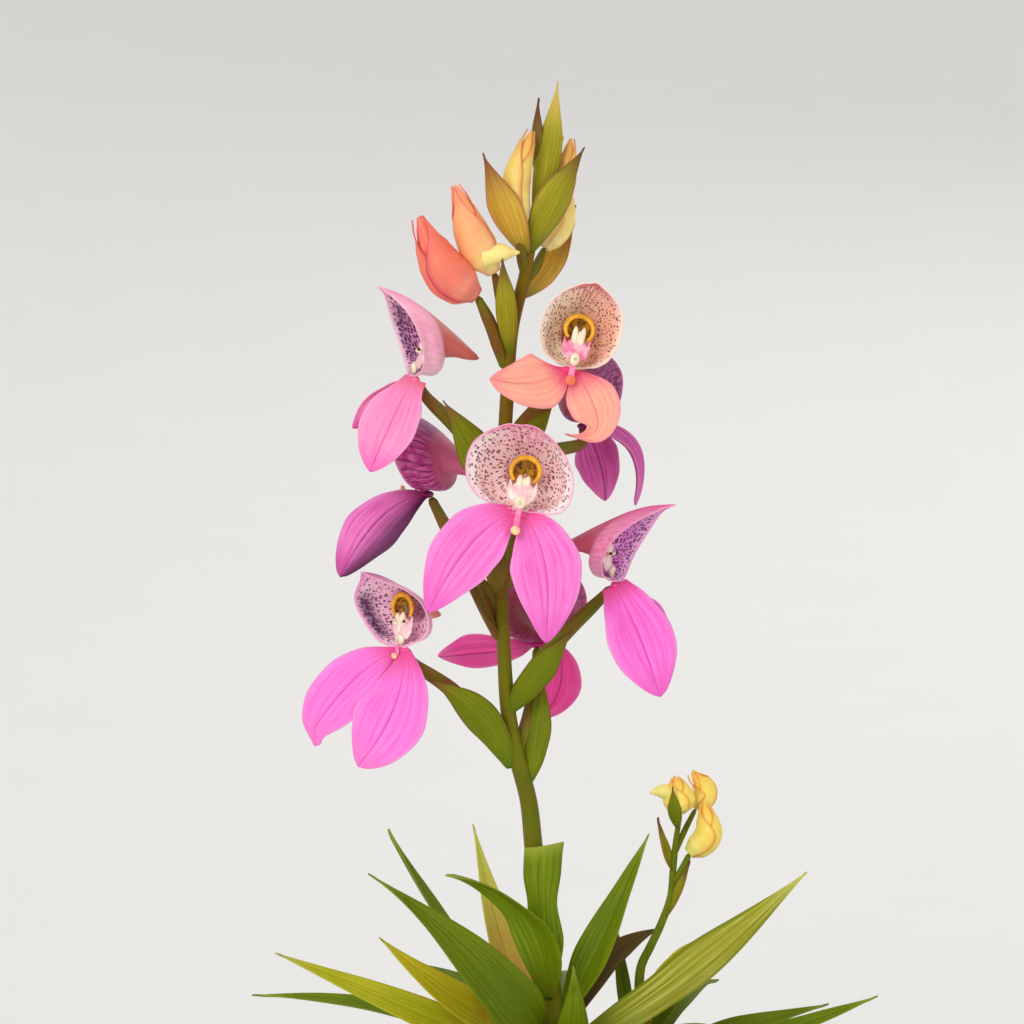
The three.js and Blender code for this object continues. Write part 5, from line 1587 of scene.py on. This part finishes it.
# Colours, written as rrggbb
PINK_SEPAL = {"body": "f25fbf", "light": "fb8cda", "vein": "d42c94", "root": "f0559c",
              "tip": "ee62c4", "margin": "fda8e4"}
VIOLET_INSIDE = {"pale": "c060a0", "flank": "a03c84", "margin": "d88ac0", "top": "b04a90",
                 "spot": "4a0c40", "haze": "7a1f66", "throat": "5a2040", "crowding": 0.9,
                 "size": 0.4}
SEPAL_TONES = {
    1: {**PINK_SEPAL, "body": "fa7fbb", "light": "fd9fce", "vein": "e0508e", "root": "f5789c",
        "tip": "f263b8", "margin": "fdb4da"},
    2: {**PINK_SEPAL, "body": "fba08c", "light": "ffb9a2", "vein": "ee6a72", "root": "f04480",
        "tip": "fb8f94", "margin": "fb98a4", "root_reach": 0.36, "rib_share": 0.4},
    # Sepal 3 carries painted shade over its lower half.
    3: {**PINK_SEPAL, "body": "d450a4", "light": "f888d0", "vein": "4a0c3e", "root": "b02c78",
        "tip": "b83c92", "margin": "f49cd8", "rib_share": 0.9, "shade": "400c3c",
        "painted_shade_share": 0.9},
    4: PINK_SEPAL,
    5: {**PINK_SEPAL, "body": "f55cc2", "light": "fd80e0", "vein": "cf2f96"},
    6: {**PINK_SEPAL, "body": "b83088", "light": "e470bc", "vein": "6c164c", "root": "8a2460",
        "tip": "e87cc4", "margin": "f0a4dc"},
    7: {**PINK_SEPAL, "body": "f868cb", "light": "fe88e2", "tip": "f57cc8"},
    8: {**PINK_SEPAL, "body": "ff3aa4", "light": "ff66b8", "vein": "b81a72", "root": "d22c84",
        "tip": "ff80c4", "margin": "ff90cc", "vein_share": 0.05},
}
# The shade colours of hoods 1, 5 and 7 are painted shade along one inner flank.
INSIDE_TONES = {
    1: {"pale": "f0b4d6", "flank": "e08cc0", "margin": "fbd0e2", "top": "f2a4cc", "spot": "400644",
        "haze": "9c3486", "throat": "8a3a5a", "crowding": 0.98, "size": 0.45, "haze_share": 0.55,
        "rows": 66.0, "shade": "54104e", "shade_turn": 0.74, "painted_shade_share": 0.7},
    2: {"pale": "fff8e8", "flank": "fff0cc", "margin": "fff0e8", "top": "d45c6c", "spot": "701c34",
        "haze": "fad6b8", "throat": "c08850", "crowding": 0.8, "size": 0.35, "rows": 60.0,
        "shade_turn": 0.76, "other": "f9b8a0", "other_share": 0.95},
    3: VIOLET_INSIDE,
    4: {"pale": "fff4f4", "flank": "ffd4d4", "margin": "fde0e8", "top": "f47cae", "spot": "741434",
        "haze": "fccfcc", "throat": "e4b08c", "crowding": 0.78, "size": 0.38, "rows": 58.0},
    5: {"pale": "f8c4f0", "flank": "ec8cdc", "margin": "f6b4ea", "top": "e87cd0", "spot": "5c0c54",
        "haze": "cc4cb4", "throat": "b0588c", "crowding": 0.97, "size": 0.44, "haze_share": 0.5,
        "rows": 64.0, "shade": "9c3c98", "shade_turn": 0.27, "painted_shade_share": 0.25},
    6: VIOLET_INSIDE,
    7: {"pale": "ffe0ee", "flank": "fdc4de", "margin": "fcb8de", "top": "f49cd4", "spot": "641058",
        "haze": "f0a0d4", "throat": "dca0b0", "crowding": 0.86, "size": 0.36, "haze_share": 0.12,
        "rows": 58.0, "shade": "3c0840", "shade_turn": 0.78, "painted_shade_share": 1.0},
    8: VIOLET_INSIDE,
}
OUTSIDE_TONES = {
    1: {"body": "f9a8c8", "vein": "e06a98", "spur": "cc6250", "margin": "fdc8de", "crown": "f07cb8",
        "belly": "fdeaee", "vein_share": 0.12},
    2: {"body": "f7bca2", "vein": "e58a80", "spur": "d8745a", "margin": "fbe2cc",
        "crown": "ec8c8e"},
    3: {"body": "b82c86", "vein": "701458", "spur": "cc6484", "margin": "eb94c4", "crown": "7c2070",
        "vein_share": 0.75},
    4: {"body": "f48cb8", "vein": "cf4a86", "spur": "cf6152", "margin": "f8b0ce",
        "crown": "ec68a4"},
    5: {"body": "f084b4", "vein": "c03474", "spur": "d25070", "margin": "fbb0d2", "crown": "d84890",
        "belly": "fac4d8"},
    6: {"body": "7c2058", "vein": "481038", "spur": "9a4048", "margin": "c878b0", "crown": "501848",
        "vein_share": 0.4},
    7: {"body": "f6a8c6", "vein": "cc5c96", "spur": "ee8a70", "margin": "fabedb", "crown": "c468ac",
        "belly": "fcd8e0", "vein_share": 0.18},
    # Painted shade: hood 8 sits in deep shadow behind the spike, so its outside is painted a dark
    # plum that stands in for that shadow.
    8: {"body": "8e265c", "vein": "5c1238", "spur": "8a3440", "margin": "cc5890", "crown": "6a1846",
        "vein_share": 0.4},
}
BUD_TONES = {
    "coral": ("f59078", "f2785c", "f07862", "dc3f5c"),
    "peach": ("f8dc8e", "f7ae70", "f79c70", "f0706c"),
    "yellow": ("fce890", "f2cc66", "e2a44c", "dc7c44"),
    "pale": ("fdf0a4", "fce484", "f2c860", "e8a850"),
    "lemon": ("f4e47c", "fadc5c", "f4c04c", "f09c40"),
    "spur": ("fbe88c", "fdea90", "feed93", "f4cc6c"),
    "spur green": ("f6e468", "f0e47c", "ece8a8", "ecc858"),
}
LEAF_TONES = {
    "green": {"green": "5c7400", "light": "7e9008", "vein": "445800", "tip": "8c9a30",
              "foot": "6a7610"},
    "dark": {"green": "566a00", "light": "708006", "vein": "3e4e00", "tip": "788820",
             "foot": "5a6808"},
    # Painted light, in part: the lime leaf's strong pale midrib is partly a painted highlight down
    # the middle and its dark green margins partly painted shade; the rest is the leaf's own colour.
    "lime": {"green": "868a0c", "light": "c4c258", "vein": "667006", "tip": "c4c45c",
             "foot": "5c6c0c", "blush": "a8a02c", "blush_share": 0.35, "rib_share": 0.9,
             "foot_to": 0.5, "margin": "6a7c0c", "margin_share": 0.75},
    "gold": {"green": "a4a604", "light": "c2be34", "vein": "868404", "tip": "b4b048",
             "foot": "b0742a", "foot_to": 0.45},
    "ochre": {"green": "b0a404", "light": "ccbe30", "vein": "8e8404", "tip": "b0a838",
              "foot": "b47826", "blush": "b88828", "blush_share": 0.4, "foot_to": 0.5},
    "amber": {"green": "c0b440", "light": "d8cc60", "vein": "a08c34", "tip": "c8cc58",
              "foot": "d07c48", "blush": "d8904c", "blush_share": 0.35, "foot_to": 0.75,
              "tip_from": 0.55},
    "rust": {"green": "4c3a12", "light": "6e5624", "vein": "382a0c", "tip": "50401c",
             "foot": "4a3a16"},
    "bract top": {"green": "8e8c14", "light": "b4a82c", "vein": "6e7010", "tip": "dcb85c",
                  "foot": "6c740a", "tip_from": 0.6},
    "bract olive": {"green": "8c8a14", "light": "b0a42a", "vein": "6a6c0c", "tip": "70482a",
                    "foot": "6a7416", "tip_from": 0.6, "margin": "8c5c30", "margin_share": 0.6},
    "bract green": {"green": "667402", "light": "848a0e", "vein": "4e5c02", "tip": "8a5a30",
                    "foot": "5e7410", "tip_from": 0.75, "margin": "7c6424", "margin_share": 0.5},
    "bract gold": {"green": "c09a34", "light": "e0b44c", "vein": "8a7a1c", "tip": "8a4c30",
                   "foot": "8c8c20", "tip_from": 0.5, "margin": "b06a44", "margin_share": 0.6},
    "bract brown": {"green": "74601c", "light": "8c7a2c", "vein": "5c4818", "tip": "6a3c28",
                    "foot": "666c18", "tip_from": 0.4, "margin": "6c4428", "margin_share": 0.6},
}


def make_finishes():
    """Every finish of the plant by name."""
    made = {
        "stem": stem_finish("stem skin", "586c00", "707a00", "6a480c", 0.35, top="7c6204"),
        "side stem": stem_finish("side stem skin", "647600", "7c8a10", "5c5a0c", 0.3),
        "ovary": stem_finish("ovary skin", "6a7410", "7c6c18", "7a4420", 0.7),
        "column white": plain_flesh_finish("column flesh", "f8ecd0", "f4d8c0"),
        "column blush": plain_flesh_finish("blush flesh", "fde4de", "f8bcc4"),
        "column rose": plain_flesh_finish("rose flesh", "fac0d0", "f0709c"),
        "lip strap": plain_flesh_finish("lip strap", "f590b8", "ee6a9e"),
        "petal gold": plain_flesh_finish("golden petal", "f2b51c", "d99712", 0.35),
        "petal brown": plain_flesh_finish("petal vault", "c99012", "6a3c12", 0.45, 1.0, 0.4, 0.6),
        "lip tip": plain_flesh_finish("lip tip", "fbd9a0", "f7a898", 0.4),
        "lip tip warm": plain_flesh_finish("warm lip tip", "f2875a", "e8684c", 0.4),
        "gland": plain_flesh_finish("pollen gland", "2a1410", "3c1f16", 0.3),
        "stigma": plain_flesh_finish("stigma hollow", "b8bc7c", "d8d4a4", 0.3),
    }
    for number, tones in SEPAL_TONES.items():
        made[f"sepals {number}"] = petal_finish(f"sepals {number}", **tones)
    for number, tones in INSIDE_TONES.items():
        made[f"hood {number} inside"] = hood_inside_finish(f"hood {number} inside", **tones)
    for number, tones in OUTSIDE_TONES.items():
        made[f"hood {number} outside"] = hood_outside_finish(f"hood {number} outside", **tones)
    for key, tones in BUD_TONES.items():
        made[key] = bud_finish(f"{key} bud", *tones, seam_shade_share=0.3 if "spur" in key else 0.75)
    for key, tones in LEAF_TONES.items():
        made[key] = leaf_finish(f"{key} leaf", **tones)
    return made


build_camera()
build_studio()
finishes = make_finishes()
build_blooms(finishes)
build_stems(finishes)
for bud in BUDS:
    bud_piece(bud, finishes)
for leaf in LEAVES:
    leaf_piece(leaf, finishes)
build_pot(pot_finish())
build_medium(
    medium_finish("peat and bark", "2a1a10", "5a3c26", "8a6a48"),
    [medium_finish("bark chip", "4a2e1c", "7c5434", "a07a50"),
     medium_finish("grit", "6e665c", "a09888", "c8c0b0"),
     medium_finish("perlite", "c8c6c0", "eceae4", "ffffff")],
)
